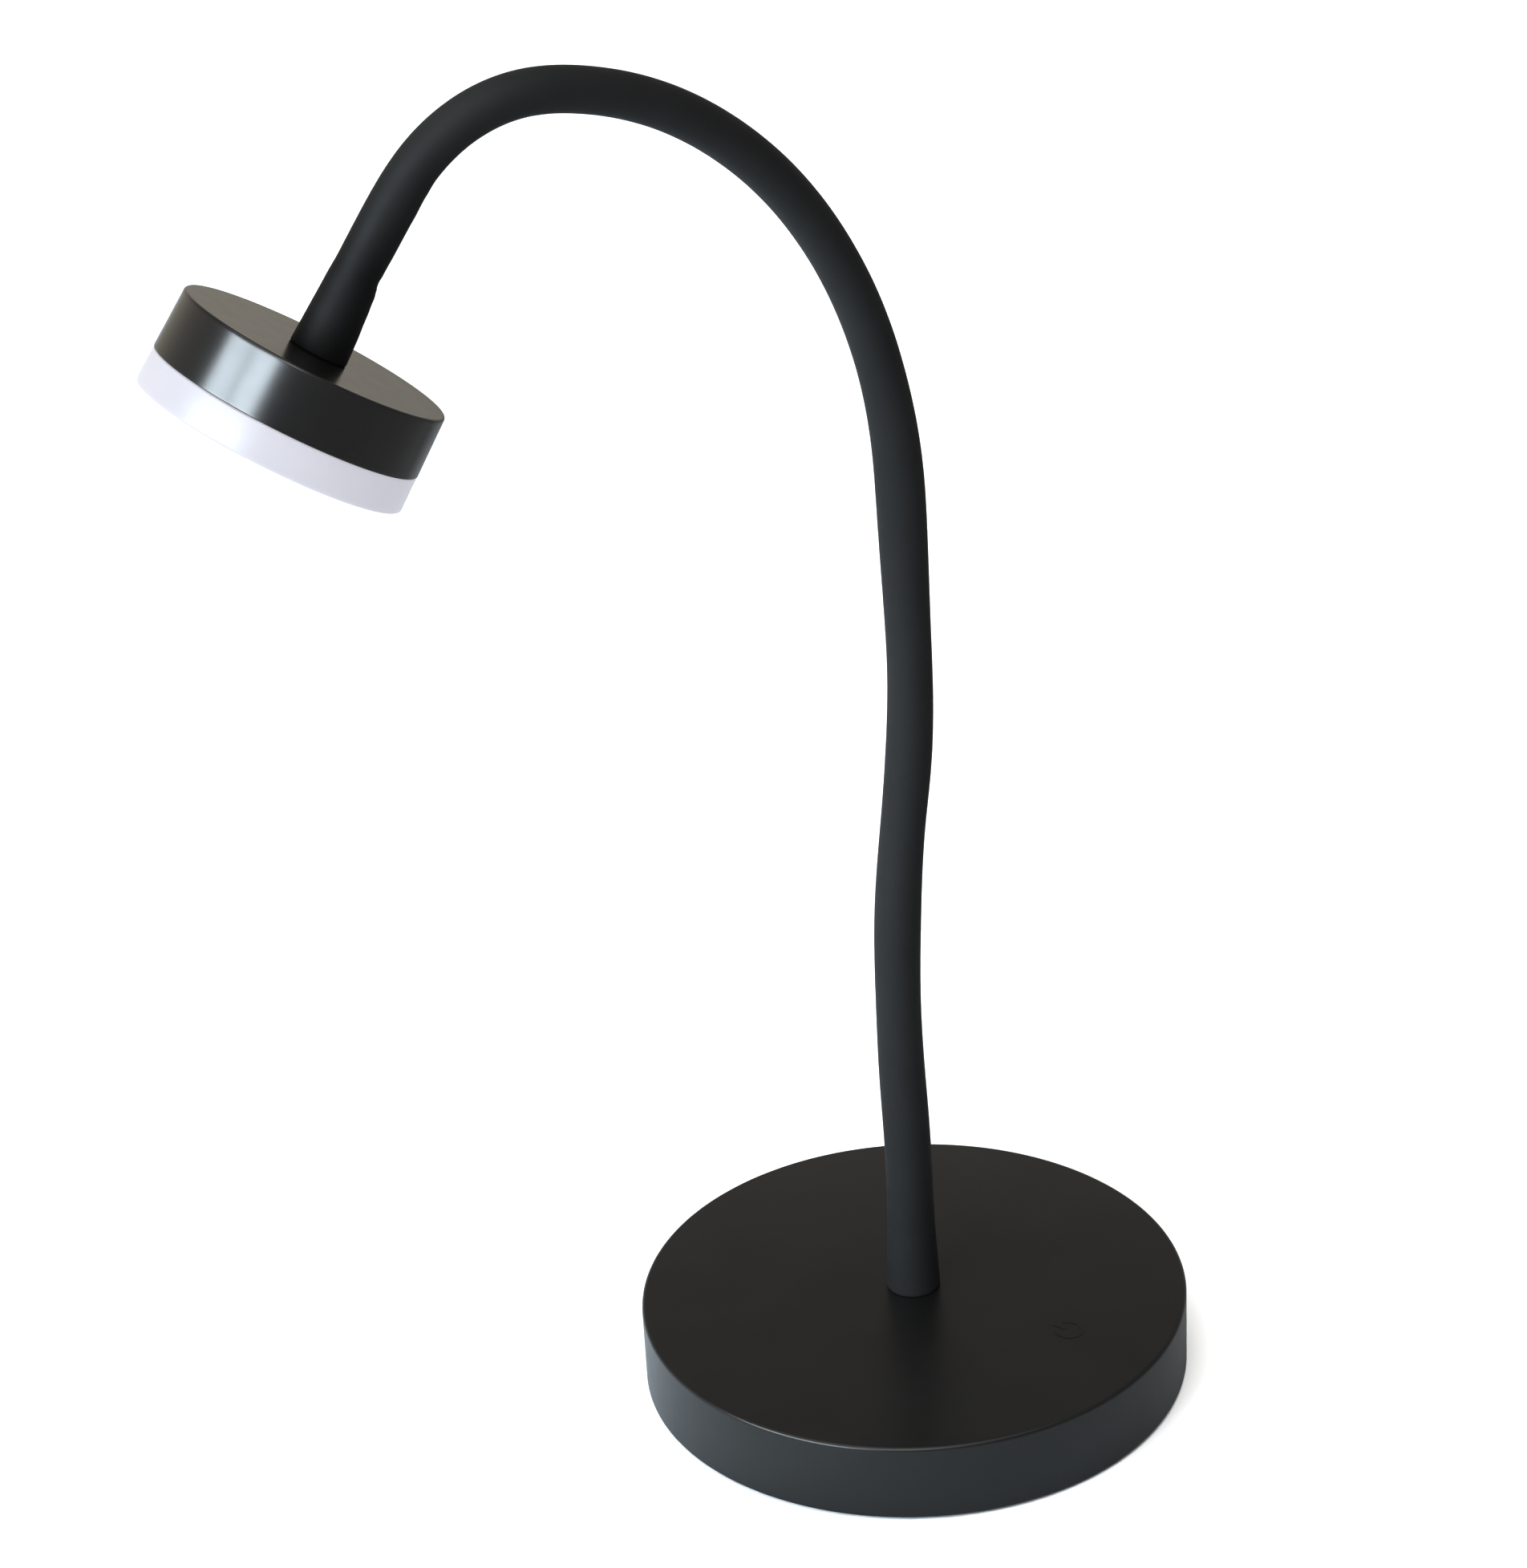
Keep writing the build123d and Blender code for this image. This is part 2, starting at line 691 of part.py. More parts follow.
def save_neck(joints, head_seat):
    links = [foot_link(joints[0])]
    links += [middle_link(joints[i], joints[i + 1], link_bends[i + 1]) for i in range(len(joints) - 1)]
    links.append(head_link(joints[-1], head_seat))
    for i, (sleeve, core, lead) in enumerate(links):
        save(sleeve, f"neck_sleeve_{i:02d}")
        save(core, f"neck_core_{i:02d}")
        save(lead, f"neck_lead_{i:02d}")


def save_head(head, head_seat):
    save(head_seat * ferrule(head_ferrule, head_stack), "head_ferrule")
    save(head_seat * stud_washer(washer_thickness - head_stack), "head_washer")
    save(head_seat * stud_nut(-head_stack), "head_nut")
    save(head * head_shell(), "head_shell")
    save(head * led_board(), "led_board")
    save(head * leds(), "leds")
    save(head * head_screws(), "led_board_screws")
    save(head * reflector(), "reflector")
    save(head * diffuser(), "diffuser")


def main():
    os.makedirs("parts", exist_ok=True)
    joints = neck_frames()
    run_in = arc_end(joints[-1], link_bends[-1], link_pitch / 2)
    head = Plane(run_in.location * Location((0, 0, head_straight)))
    head_seat = Plane(head.location * Location((0, 0, 0), (180, 0, 0)))
    save_base()
    save_neck(joints, head_seat)
    save_head(head, head_seat)


main()
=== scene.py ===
import bpy
import bmesh
import math
from mathutils import Matrix, Vector


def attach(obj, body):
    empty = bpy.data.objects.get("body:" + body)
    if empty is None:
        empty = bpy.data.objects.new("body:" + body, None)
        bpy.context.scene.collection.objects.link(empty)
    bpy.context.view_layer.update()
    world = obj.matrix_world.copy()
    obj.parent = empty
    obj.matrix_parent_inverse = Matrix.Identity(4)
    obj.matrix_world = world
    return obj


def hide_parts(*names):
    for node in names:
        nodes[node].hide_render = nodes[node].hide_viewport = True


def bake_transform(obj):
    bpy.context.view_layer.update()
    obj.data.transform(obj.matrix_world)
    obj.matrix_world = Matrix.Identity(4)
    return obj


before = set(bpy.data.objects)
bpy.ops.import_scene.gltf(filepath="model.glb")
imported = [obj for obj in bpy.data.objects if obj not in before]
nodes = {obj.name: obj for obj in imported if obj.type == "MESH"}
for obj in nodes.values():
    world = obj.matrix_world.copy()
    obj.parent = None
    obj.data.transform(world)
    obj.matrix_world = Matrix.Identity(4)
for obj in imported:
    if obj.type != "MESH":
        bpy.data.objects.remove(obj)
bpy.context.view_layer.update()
print("packed lamp loaded")

mm = 0.001
scene = bpy.context.scene


# mesh helpers: all sizes in mm, turned into metres as the vertices are made

def ringedSolid(name, rings, closed=True):
    # skin over rings of points; a ring of one point closes to a tip
    mesh = bmesh.new()
    loops = [[mesh.verts.new(point) for point in ring] for ring in rings]
    pairs = list(zip(loops, loops[1:])) + ([(loops[-1], loops[0])] if closed else [])
    for low, high in pairs:
        count = max(len(low), len(high))
        for i in range(count):
            j = (i + 1) % count
            if len(low) == 1:
                mesh.faces.new((low[0], high[j], high[i]))
            elif len(high) == 1:
                mesh.faces.new((low[i], low[j], high[0]))
            else:
                mesh.faces.new((low[i], low[j], high[j], high[i]))
    bmesh.ops.recalc_face_normals(mesh, faces=mesh.faces)
    data = bpy.data.meshes.new(name)
    mesh.to_mesh(data)
    mesh.free()
    piece = bpy.data.objects.new(name, data)
    scene.collection.objects.link(piece)
    return piece


def shadeSoft(piece, sharpAngle=32):
    piece.data.shade_smooth()
    piece.data.set_sharp_from_angle(angle=math.radians(sharpAngle))


def softOutline(corners, steps=6):
    # corners are (radius, height, round); a round above 0 becomes an arc
    points = []
    for i, (x, y, size) in enumerate(corners):
        here = Vector((x, y))
        if not size:
            points.append(here)
            continue
        back = (Vector(corners[i - 1][:2]) - here).normalized()
        ahead = (Vector(corners[(i + 1) % len(corners)][:2]) - here).normalized()
        half = back.angle(ahead) / 2
        centre = here + (back + ahead).normalized() * size / math.sin(half)
        first = here + back * size / math.tan(half) - centre
        last = here + ahead * size / math.tan(half) - centre
        turn = math.atan2(first.cross(last), first.dot(last))
        for k in range(steps + 1):
            points.append(centre + Matrix.Rotation(turn * k / steps, 2) @ first)
    return points


def turnedSolid(name, outline, place, sides, closed=True):
    rings = []
    for radius, height in outline:
        if radius < 1e-6:
            rings.append([place @ Vector((0, 0, height * mm))])
            continue
        rings.append([place @ Vector((radius * mm * math.cos(t), radius * mm * math.sin(t), height * mm))
                      for t in (2 * math.pi * k / sides for k in range(sides))])
    return ringedSolid(name, rings, closed)


past = 1.0  # mm that a cutter goes beyond what it cuts


def rod(radius, low, high, place, sides=40):
    outline = [(0, low), (radius, low), (radius, high), (0, high)]
    return turnedSolid("tool", outline, place, sides, closed=False)


def carve(piece, tool, operation="DIFFERENCE"):
    # join or cut with a closed tool, which is used up
    change = piece.modifiers.new("carve", "BOOLEAN")
    change.object, change.operation, change.solver = tool, operation, "EXACT"
    graph = bpy.context.evaluated_depsgraph_get()
    result = bpy.data.meshes.new_from_object(piece.evaluated_get(graph))
    piece.modifiers.clear()
    piece.data = result
    bpy.data.objects.remove(tool)


# neck's centre line, from the seat on the base to the seat on the head

neck = {
    "seatHeight": 28.3,
    "bends": (2.9, -4.6, -6.9, 9.5, 0.2, 14.4, 16.2, 19.5, 25.0, 65.5, 3.0),  # degrees, link by link
    "pitch": 50.0,
    "footStraight": 37.7,
    "headStraight": 23.5,
    "ease": 9.0,  # mm each side of a joint over which one bend turns into the next
    "easeSamples": 9,
    "hinges": 10,
    "bendReach": 17.0,  # mm each side of a hinge; the script reads it but bends nothing with it
    "step": 0.5,
}
halfPitch = neck["pitch"] / 2
neckRuns = [(neck["footStraight"], 0.0), (halfPitch, neck["bends"][0])]
neckRuns += [(neck["pitch"], bend) for bend in neck["bends"][1:-1]]
neckRuns += [(halfPitch, neck["bends"][-1]), (neck["headStraight"], 0.0)]
neckLength = sum(length for length, bend in neckRuns)
hingeCount = neck["hinges"]
hingeAt = [neck["footStraight"] + halfPitch + neck["pitch"] * i for i in range(hingeCount)]


def exactEnd():
    # place and heading where plain arcs would end, which is where the head's fittings are
    x, z, heading = 0.0, neck["seatHeight"], 0.0
    for length, bend in neckRuns:
        turn = math.radians(bend)
        chord = length if bend == 0 else 2 * length / turn * math.sin(turn / 2)
        x -= chord * math.sin(heading + turn / 2)
        z += chord * math.cos(heading + turn / 2)
        heading += turn
    return x, z, heading


def bendAt(distance):
    # degrees per mm, eased across each joint
    total, samples = 0.0, neck["easeSamples"]
    for k in range(samples):
        spot = distance + neck["ease"] * (2 * k / (samples - 1) - 1)
        low, rate = 0.0, 0.0
        for length, bend in neckRuns:
            if low <= spot < low + length:
                rate = bend / length
            low += length
        total += rate
    return total / samples


def tracedLine():
    x, z, heading = 0.0, neck["seatHeight"], 0.0
    step, line = neck["step"], []
    for k in range(int(neckLength / step) + 1):
        line.append((x, z, heading))
        turn = math.radians(bendAt((k + 0.5) * step)) * step
        x -= step * math.sin(heading + turn / 2)
        z += step * math.cos(heading + turn / 2)
        heading += turn
    endX, endZ, endHeading = exactEnd()
    missX, missZ, missHeading = endX - line[-1][0], endZ - line[-1][1], endHeading - line[-1][2]
    last = len(line) - 1
    return [(x + missX * k / last, z + missZ * k / last, heading + missHeading * k / last)
            for k, (x, z, heading) in enumerate(line)]


neckLine = tracedLine()


def neckPlace(distance):
    # frame on the centre line: local Z along the neck, local Y across the plane that it bends in
    inside = min(max(distance, 0.0), neckLength)
    share = inside / neck["step"]
    low = min(int(share), len(neckLine) - 2)
    part = share - low
    x, z, heading = (a + (b - a) * part for a, b in zip(neckLine[low], neckLine[low + 1]))
    beyond = distance - inside
    x -= beyond * math.sin(heading)
    z += beyond * math.cos(heading)
    return Matrix.Translation((x * mm, 0, z * mm)) @ Matrix.Rotation(-heading, 4, "Y")


print("neck line traced, length", round(neckLength, 1))

endLip = 0.3  # mm from a piece's end to its second ring, which keeps the end crisp


def neckStations(number, spacing):
    # distances along the neck for the piece over one hinge, close together at its ends
    start = 0.0 if number == 1 else hingeAt[number - 1] - halfPitch
    end = neckLength if number == hingeCount else hingeAt[number - 1] + halfPitch
    count = round((end - start) / spacing)
    inner = [start + (end - start) * k / count for k in range(1, count)]
    return [start, start + endLip] + inner + [end - endLip, end]


def neckTube(name, number, stations, outside, inside, sides, bulge=None):
    # closed tube along the neck, with its straightened place kept for the finish; bulge adds to the outside
    def ring(distance, radius, extra=None):
        place = neckPlace(distance)
        flat = []
        for t in (2 * math.pi * k / sides for k in range(sides)):
            reach = (radius + (extra(distance, t) if extra else 0.0)) * mm
            flat.append(Vector((reach * math.cos(t), reach * math.sin(t), 0)))
        return [place @ point for point in flat], [point + Vector((0, 0, distance * mm)) for point in flat]

    shells = [ring(d, outside(d), bulge) for d in stations]
    if inside:
        shells += [ring(d, inside(d)) for d in reversed(stations)]
    rings = [points for points, straight in shells]
    straightened = [point for points, straight in shells for point in straight]
    if inside:
        piece = ringedSolid(name, rings)
    else:
        first, last = stations[0], stations[-1]
        rings = [[neckPlace(first).translation]] + rings + [[neckPlace(last).translation]]
        straightened = [Vector((0, 0, first * mm))] + straightened + [Vector((0, 0, last * mm))]
        piece = ringedSolid(name, rings, closed=False)
    unbent = piece.data.attributes.new("straightPlace", "FLOAT_VECTOR", "POINT")
    unbent.data.foreach_set("vector", [value for point in straightened for value in point])
    shadeSoft(piece)
    hinge, reach = hingeAt[number - 1], neck["bendReach"]
    neckPlace(hinge - reach).translation
    neckPlace(hinge + reach).translation
    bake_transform(piece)
    return piece


# sleeve

sleeve = {
    "bore": 5.1,
    "collarWall": 1.2,
    "fit": 0.05,
    "edgeRound": 0.5,
    "foot": (6.6, 5.7, 21.7),  # ferrule's radius at its seat and mouth, and its length
    "head": (6.25, 5.55, 18.0),
    "shoulder": 9.0,
    # soft swells of the tube: distance from the foot and radius
    "swells": ((0, 6.8), (60, 6.8), (97, 6.55), (125, 6.75), (156, 6.48), (178, 6.68), (210, 6.44),
               (261, 7.0), (308, 6.5), (350, 6.42), (420, 6.44), (480, 6.42), (540, 6.45)),
    # fold on one side, where the sleeve is pushed up over the head's ferrule: distance from the head and
    # extra radius
    "fold": ((0, 1.3), (6.4, 1.28), (14, 1.0), (19.5, 0.72), (21.4, 0.42), (23.0, 0.12), (24.0, 0.08),
             (25.8, 0.32), (34, 0.52), (44, 0.56), (50, 0.3), (56, 0.0)),
    "foldAngle": 218.0,  # degrees round the neck
    "foldSpread": 1.5,  # above 1 keeps the fold narrow round the neck
    "spacing": 1.5,
    "edgeRings": (0.06, 0.15, 0.3, 0.5),  # rings over the rounded end
    "mouthRings": (0.0, 0.06, 0.07),  # rings about the ferrule's mouth
    "shoulderRings": 12,
    "sides": 56,
}


def eased(share):
    return share * share * (3 - 2 * share)


def tubeRadius(distance):
    swells = sleeve["swells"]
    for (low, first), (high, second) in zip(swells, swells[1:]):
        if distance <= high:
            return first + (second - first) * eased((distance - low) / (high - low))
    return swells[-1][1]


def sleeveOutside(distance):
    wall, plain = sleeve["fit"] + sleeve["collarWall"], tubeRadius(distance)
    for (root, mouth, length), near in ((sleeve["foot"], distance), (sleeve["head"], neckLength - distance)):
        if near < length:
            radius = root + (mouth - root) * near / length + wall
            if near < sleeve["edgeRound"]:
                lack = 1 - near / sleeve["edgeRound"]
                radius -= sleeve["edgeRound"] * (1 - math.sqrt(max(0.0, 1 - lack * lack)))
            return radius
        if near < length + sleeve["shoulder"]:
            return mouth + wall + (plain - mouth - wall) * eased((near - length) / sleeve["shoulder"])
    return plain


def sleeveInside(distance):
    for (root, mouth, length), near in ((sleeve["foot"], distance), (sleeve["head"], neckLength - distance)):
        if near < length + sleeve["fit"]:
            return root + (mouth - root) * near / length + sleeve["fit"]
    return sleeve["bore"]


def sleeveFold(distance, turn):
    near, fold = neckLength - distance, sleeve["fold"]
    facing = max(0.0, math.cos(turn - math.radians(sleeve["foldAngle"])))
    for (low, first), (high, second) in zip(fold, fold[1:]):
        if near <= high:
            height = first + (second - first) * eased((near - low) / (high - low))
            return height * facing ** sleeve["foldSpread"]
    return 0.0


sleevePieces = []
for number in range(1, hingeCount + 1):
    stations = neckStations(number, sleeve["spacing"])
    for (root, mouth, length), atThisEnd in ((sleeve["foot"], number == 1),
                                             (sleeve["head"], number == hingeCount)):
        if not atThisEnd:
            continue
        extra = list(sleeve["edgeRings"]) + [length + step for step in sleeve["mouthRings"]]
        steps = sleeve["shoulderRings"]
        extra += [length + sleeve["shoulder"] * k / steps for k in range(1, steps + 1)]
        stations += extra if number == 1 else [neckLength - d for d in extra]
        stations = sorted(set(round(d, 3) for d in stations))
    piece = neckTube(f"sleeve_{number:02d}", number, stations, sleeveOutside, sleeveInside, sleeve["sides"],
                     bulge=sleeveFold)
    replaced = [f"neck_sleeve_{number - 1:02d}"] + (["neck_sleeve_10"] if number == hingeCount else [])
    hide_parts(*replaced)
    sleevePieces.append(piece)
print("sleeve made")

# wound steel core and the lead inside it

core = {"radius": 5.0, "bore": 3.4, "turn": 2.5, "notch": 0.45, "turnRings": 4, "seat": 3.0, "sides": 28}
lead = {"radius": 1.3, "behindFoot": 11.65, "behindHead": 10.75, "spacing": 3.0, "sides": 16}


def coreOutside(distance):
    # round wire turns with a notch where the wedge wire lies between them
    phase = distance / core["turn"] % 1.0
    return core["radius"] - core["notch"] * abs(2 * phase - 1) ** 3


corePieces, leadPieces = [], []
for number in range(1, hingeCount + 1):
    stations = [d for d in neckStations(number, core["turn"] / core["turnRings"])
                if core["seat"] <= d <= neckLength - core["seat"]]
    piece = neckTube(f"core_{number:02d}", number, stations, coreOutside, lambda d: core["bore"],
                     core["sides"])
    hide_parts(f"neck_core_{number - 1:02d}", *(["neck_core_10"] if number == hingeCount else []))
    corePieces.append(piece)

    stations = neckStations(number, lead["spacing"])
    if number == 1:
        stations = [-lead["behindFoot"], -lead["behindFoot"] / 2] + stations
    if number == hingeCount:
        stations += [neckLength + lead["behindHead"] / 2, neckLength + lead["behindHead"]]
    piece = neckTube(f"lead_{number:02d}", number, stations, lambda d: lead["radius"], None, lead["sides"])
    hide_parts(f"neck_lead_{number - 1:02d}", *(["neck_lead_10"] if number == hingeCount else []))
    leadPieces.append(piece)
print("core and lead made")

# base housing

housing = {
    "radius": 80.0, "edge": 25.0, "crown": 3.3, "landing": 8.2, "landingThickness": 3.0, "braceSeat": 31.0,
    "rim": 1.0, "wall": 2.5, "roof": 2.5, "draft": 0.8, "studHole": 5.2, "sides": 288,
    "topRound": 1.2, "rimBevel": 0.4, "rimInnerRound": 0.2, "roofRound": 0.8, "roundSteps": 8,
    # distances from a corner to the outline's next point, so that the shading bends only near the corner
    "holeFlat": 0.3, "domeEnd": 1.4, "sideTop": 1.6, "sideFoot": 0.9, "roofEnd": 2.0, "braceEdge": 0.1,
    "domeSteps": 12, "roofSteps": 6,
    "bossRadius": 4.0, "bossCircle": 70.0, "bossCount": 4, "bossTurn": 45, "bossFoot": 3.5,
    "pilot": 1.55, "pilotDepth": 8.0,
    "slotHeight": 12.8, "slotWidth": 9.44, "slotTall": 3.7, "slotRound": 1.8,
}
mark = {"radius": 51.3, "angle": -61.2, "size": 4.2, "line": 0.8, "depth": 0.25, "lip": 0.07, "opening": 70.0,
        "clear": 0.1, "taper": 0.05, "arcSteps": 56, "barSteps": 4}
markTurn = Matrix.Rotation(math.radians(mark["angle"]), 4, "Z")

h = housing
seatTop = h["edge"] + h["crown"]
domeCentre = (seatTop ** 2 + h["landing"] ** 2 - h["edge"] ** 2 - h["radius"] ** 2) / (2 * h["crown"])
domeRadius = math.hypot(h["radius"], h["edge"] - domeCentre)


def domeHeight(radius, depth=0.0):
    return domeCentre + math.sqrt((domeRadius - depth) ** 2 - radius ** 2)


def sideRadius(height):
    return h["radius"] - (h["edge"] - height) * math.tan(math.radians(h["draft"]))


def domeCorners(inner, outer, depth, count):
    # corners over the dome between two radii
    return [(radius, domeHeight(radius, depth), 0)
            for radius in (inner + (outer - inner) * k / count for k in range(count + 1))]


wallInside = h["radius"] - h["wall"]
padUnderside = seatTop - h["landingThickness"]
sideTop, sideFoot = h["edge"] - h["sideTop"], h["rim"] + h["sideFoot"]
outline = softOutline(
    [(h["studHole"], seatTop, 0), (h["studHole"] + h["holeFlat"], seatTop, 0)]
    + domeCorners(h["landing"], h["radius"] - h["domeEnd"], 0.0, h["domeSteps"])
    + [(h["radius"], h["edge"], h["topRound"])]
    + [(sideRadius(sideTop), sideTop, 0), (sideRadius(sideFoot), sideFoot, 0)]
    + [(sideRadius(h["rim"]), h["rim"], h["rimBevel"]), (wallInside, h["rim"], h["rimInnerRound"])]
    + [(wallInside, domeHeight(wallInside, h["roof"]), h["roofRound"])]
    + domeCorners(h["braceSeat"], wallInside - h["roofEnd"], h["roof"], h["roofSteps"])[::-1]
    + [(h["braceSeat"] - h["braceEdge"], padUnderside, 0), (h["studHole"], padUnderside, 0)],
    steps=h["roundSteps"])
baseHousing = turnedSolid("base_housing", outline, Matrix.Identity(4), h["sides"])
bossTop = domeHeight(h["bossCircle"], h["roof"] / 2)
for k in range(h["bossCount"]):
    turn = Matrix.Rotation(math.radians(mark["angle"] + h["bossTurn"] + 360 / h["bossCount"] * k), 4, "Z")
    boss = turn @ Matrix.Translation((h["bossCircle"] * mm, 0, 0))
    carve(baseHousing, rod(h["bossRadius"], h["bossFoot"], bossTop, boss), "UNION")
    carve(baseHousing, rod(h["pilot"], h["bossFoot"] - past, h["bossFoot"] + h["pilotDepth"], boss))


def roundedSlot(width, tall, corner, near, far, place, steps=6):
    # closed bar with a rounded section, along local Z
    rings = []
    for depth in (near, far):
        ring = []
        for cx, cy, start in ((1, 1, 0), (-1, 1, 90), (-1, -1, 180), (1, -1, 270)):
            for k in range(steps + 1):
                angle = math.radians(start + 90 * k / steps)
                x = cx * (width / 2 - corner) + corner * math.cos(angle)
                y = cy * (tall / 2 - corner) + corner * math.sin(angle)
                ring.append(place @ Vector((x * mm, y * mm, depth * mm)))
        rings.append(ring)
    middle = [place @ Vector((0, 0, depth * mm)) for depth in (near, far)]
    return ringedSolid("tool", [[middle[0]]] + rings + [[middle[1]]], closed=False)


# charging slot opposite the mark: local X across, Y up, Z outwards
slotPlace = (markTurn @ Matrix.Rotation(math.pi, 4, "Z") @ Matrix.Translation((0, 0, h["slotHeight"] * mm))
             @ Matrix(((0, 0, 1, 0), (1, 0, 0, 0), (0, 1, 0, 0), (0, 0, 0, 1))))
carve(baseHousing, roundedSlot(h["slotWidth"], h["slotTall"], h["slotRound"],
                               h["radius"] - 2 * h["wall"], h["radius"] + 2 * past, slotPlace))


def groove(points):
    # cutter for an engraved line with small bevels, along points on the domed top
    half, lip, deep = mark["line"] / 2, mark["lip"], mark["depth"]
    clear, taper = mark["clear"], mark["taper"]
    section = [(-half - lip - clear, clear), (-half - lip, 0), (-half, -lip), (-half + taper, -deep),
               (half - taper, -deep), (half, -lip), (half + lip, 0), (half + lip + clear, clear)]
    rings = []
    for i, point in enumerate(points):
        before, after = points[max(i - 1, 0)], points[min(i + 1, len(points) - 1)]
        along = (after - before).normalized()
        side = Vector((-along.y, along.x))
        across = [(point + side * s, z) for s, z in section]
        rings.append([markTurn @ Vector((spot.x * mm, spot.y * mm, (domeHeight(spot.length) + z) * mm))
                      for spot, z in across])
    middle = [sum(ring, Vector()) / len(ring) for ring in (rings[0], rings[-1])]
    return ringedSolid("tool", [[middle[0]]] + rings + [[middle[1]]], closed=False)


middleRadius = mark["size"] - mark["line"] / 2
openHalf, arcSteps, barSteps = mark["opening"] / 2, mark["arcSteps"], mark["barSteps"]
arc = [Vector((mark["radius"] + middleRadius * math.cos(math.radians(180 + t)),
               middleRadius * math.sin(math.radians(180 + t))))
       for t in (openHalf + (360 - 2 * openHalf) * k / arcSteps for k in range(arcSteps + 1))]
carve(baseHousing, groove(arc))
bar = [Vector((mark["radius"] - mark["size"] - mark["line"] + mark["size"] * k / barSteps, 0))
       for k in range(barSteps + 1)]
carve(baseHousing, groove(bar))
shadeSoft(baseHousing)
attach(baseHousing, "base")
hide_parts("base_shell")
print("base housing made")

# foot pad

pad = {"radius": 75.0, "height": 1.5, "edge": 0.4, "topEdge": 0.2, "grooveCount": 5, "grooveStart": 14.0,
       "groovePitch": 13.0, "grooveDepth": 0.25, "grooveEdge": 0.1, "sides": 192,
       "grooveSteps": (0.4, 1.2, 1.6)}  # out from the groove's start: floor, floor's end, groove's end
padCorners = [(0, 0, 0)]
for k in range(pad["grooveCount"]):
    inner = pad["grooveStart"] + pad["groovePitch"] * k
    floorStart, floorEnd, outer = (inner + step for step in pad["grooveSteps"])
    padCorners += [(inner, 0, pad["grooveEdge"]), (floorStart, pad["grooveDepth"], 0),
                   (floorEnd, pad["grooveDepth"], 0), (outer, 0, pad["grooveEdge"])]
padCorners += [(pad["radius"], 0, pad["edge"]), (pad["radius"], pad["height"], pad["topEdge"]),
               (0, pad["height"], 0)]
footPad = turnedSolid("rubber_foot", softOutline(padCorners, steps=3), Matrix.Identity(4), pad["sides"],
                      closed=False)
shadeSoft(footPad)
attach(footPad, "base")
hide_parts("foot_pad")
print("foot pad made")

# lamp head, with its depth measured from its top face down to the diffuser

head = {
    "radius": 38.1, "draft": 1.65, "band": 17.4, "roof": 3.0, "wall": 2.0, "studHole": 5.2, "sides": 256,
    "topRound": 0.8, "rimBevel": 0.3, "rimInnerRound": 0.2, "roofRound": 0.6,
    # distances from a corner to the outline's next points
    "holeFlat": 0.3, "topEnds": (1.5, 1.0), "sideTop": 1.4, "sideFoot": 0.8,
    "postRadius": 3.0, "postCircle": 17.0, "postCount": 3, "postEnd": 10.8, "postRoot": 0.3,
    "pilot": 1.3, "pilotDepth": 4.0,
}
glass = {"step": 0.1, "seam": 0.3, "height": 9.9, "wall": 2.0, "skirtTop": 14.2, "skirtRadius": 35.95,
         "skirtWall": 1.6, "bottomEnd": 1.2, "edgeRound": 0.6, "lipRound": 0.25, "skirtRound": 0.2,
         "skirtRoot": 0.4, "wallRoot": 0.6, "floorRound": 1.0, "sides": 256}
headPlace = neckPlace(neckLength)


def headRadius(depth):
    return head["radius"] + depth * math.tan(math.radians(head["draft"]))


inside = head["radius"] - head["wall"]
bandFoot = head["band"] - head["sideFoot"]
headOutline = softOutline([
    (head["studHole"], 0, 0), (head["studHole"] + head["holeFlat"], 0, 0),
    *((head["radius"] - end, 0, 0) for end in head["topEnds"]), (headRadius(0), 0, head["topRound"]),
    (headRadius(head["sideTop"]), head["sideTop"], 0), (headRadius(bandFoot), bandFoot, 0),
    (headRadius(head["band"]), head["band"], head["rimBevel"]), (inside, head["band"], head["rimInnerRound"]),
    (inside, head["roof"], head["roofRound"]), (head["studHole"], head["roof"], 0),
], steps=7)
headHousing = turnedSolid("head_housing", headOutline, headPlace, head["sides"])
for k in range(head["postCount"]):
    turn = Matrix.Rotation(2 * math.pi * k / head["postCount"], 4, "Z")
    post = headPlace @ turn @ Matrix.Translation((head["postCircle"] * mm, 0, 0))
    postStart, pilotEnd = head["roof"] - head["postRoot"], head["postEnd"] - head["pilotDepth"]
    carve(headHousing, rod(head["postRadius"], postStart, head["postEnd"], post), "UNION")
    carve(headHousing, rod(head["pilot"], pilotEnd, head["postEnd"] + past, post))
shadeSoft(headHousing)
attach(headHousing, "head")
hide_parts("head_shell")

lip = head["band"] + glass["seam"]
bottom = lip + glass["height"]
lipRadius, bottomRadius = headRadius(lip) - glass["step"], headRadius(bottom) - glass["step"]
skirtInner = glass["skirtRadius"] - glass["skirtWall"]
glassOutline = softOutline([
    (0, bottom, 0), (bottomRadius - glass["bottomEnd"], bottom, 0),
    (bottomRadius, bottom, glass["edgeRound"]),
    (lipRadius, lip, glass["lipRound"]), (glass["skirtRadius"], lip, 0),
    (glass["skirtRadius"], glass["skirtTop"], glass["skirtRound"]),
    (skirtInner, glass["skirtTop"], glass["skirtRound"]),
    (skirtInner, lip + glass["wall"], glass["skirtRoot"]),
    (lipRadius - glass["wall"], lip + glass["wall"], glass["wallRoot"]),
    (bottomRadius - glass["wall"], bottom - glass["wall"], glass["floorRound"]),
    (0, bottom - glass["wall"], 0),
], steps=5)
diffuserCup = turnedSolid("diffuser_cup", glassOutline, headPlace, glass["sides"], closed=False)
shadeSoft(diffuserCup)
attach(diffuserCup, "head")
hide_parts("diffuser")
print("lamp head made")


# node helpers and shared effects

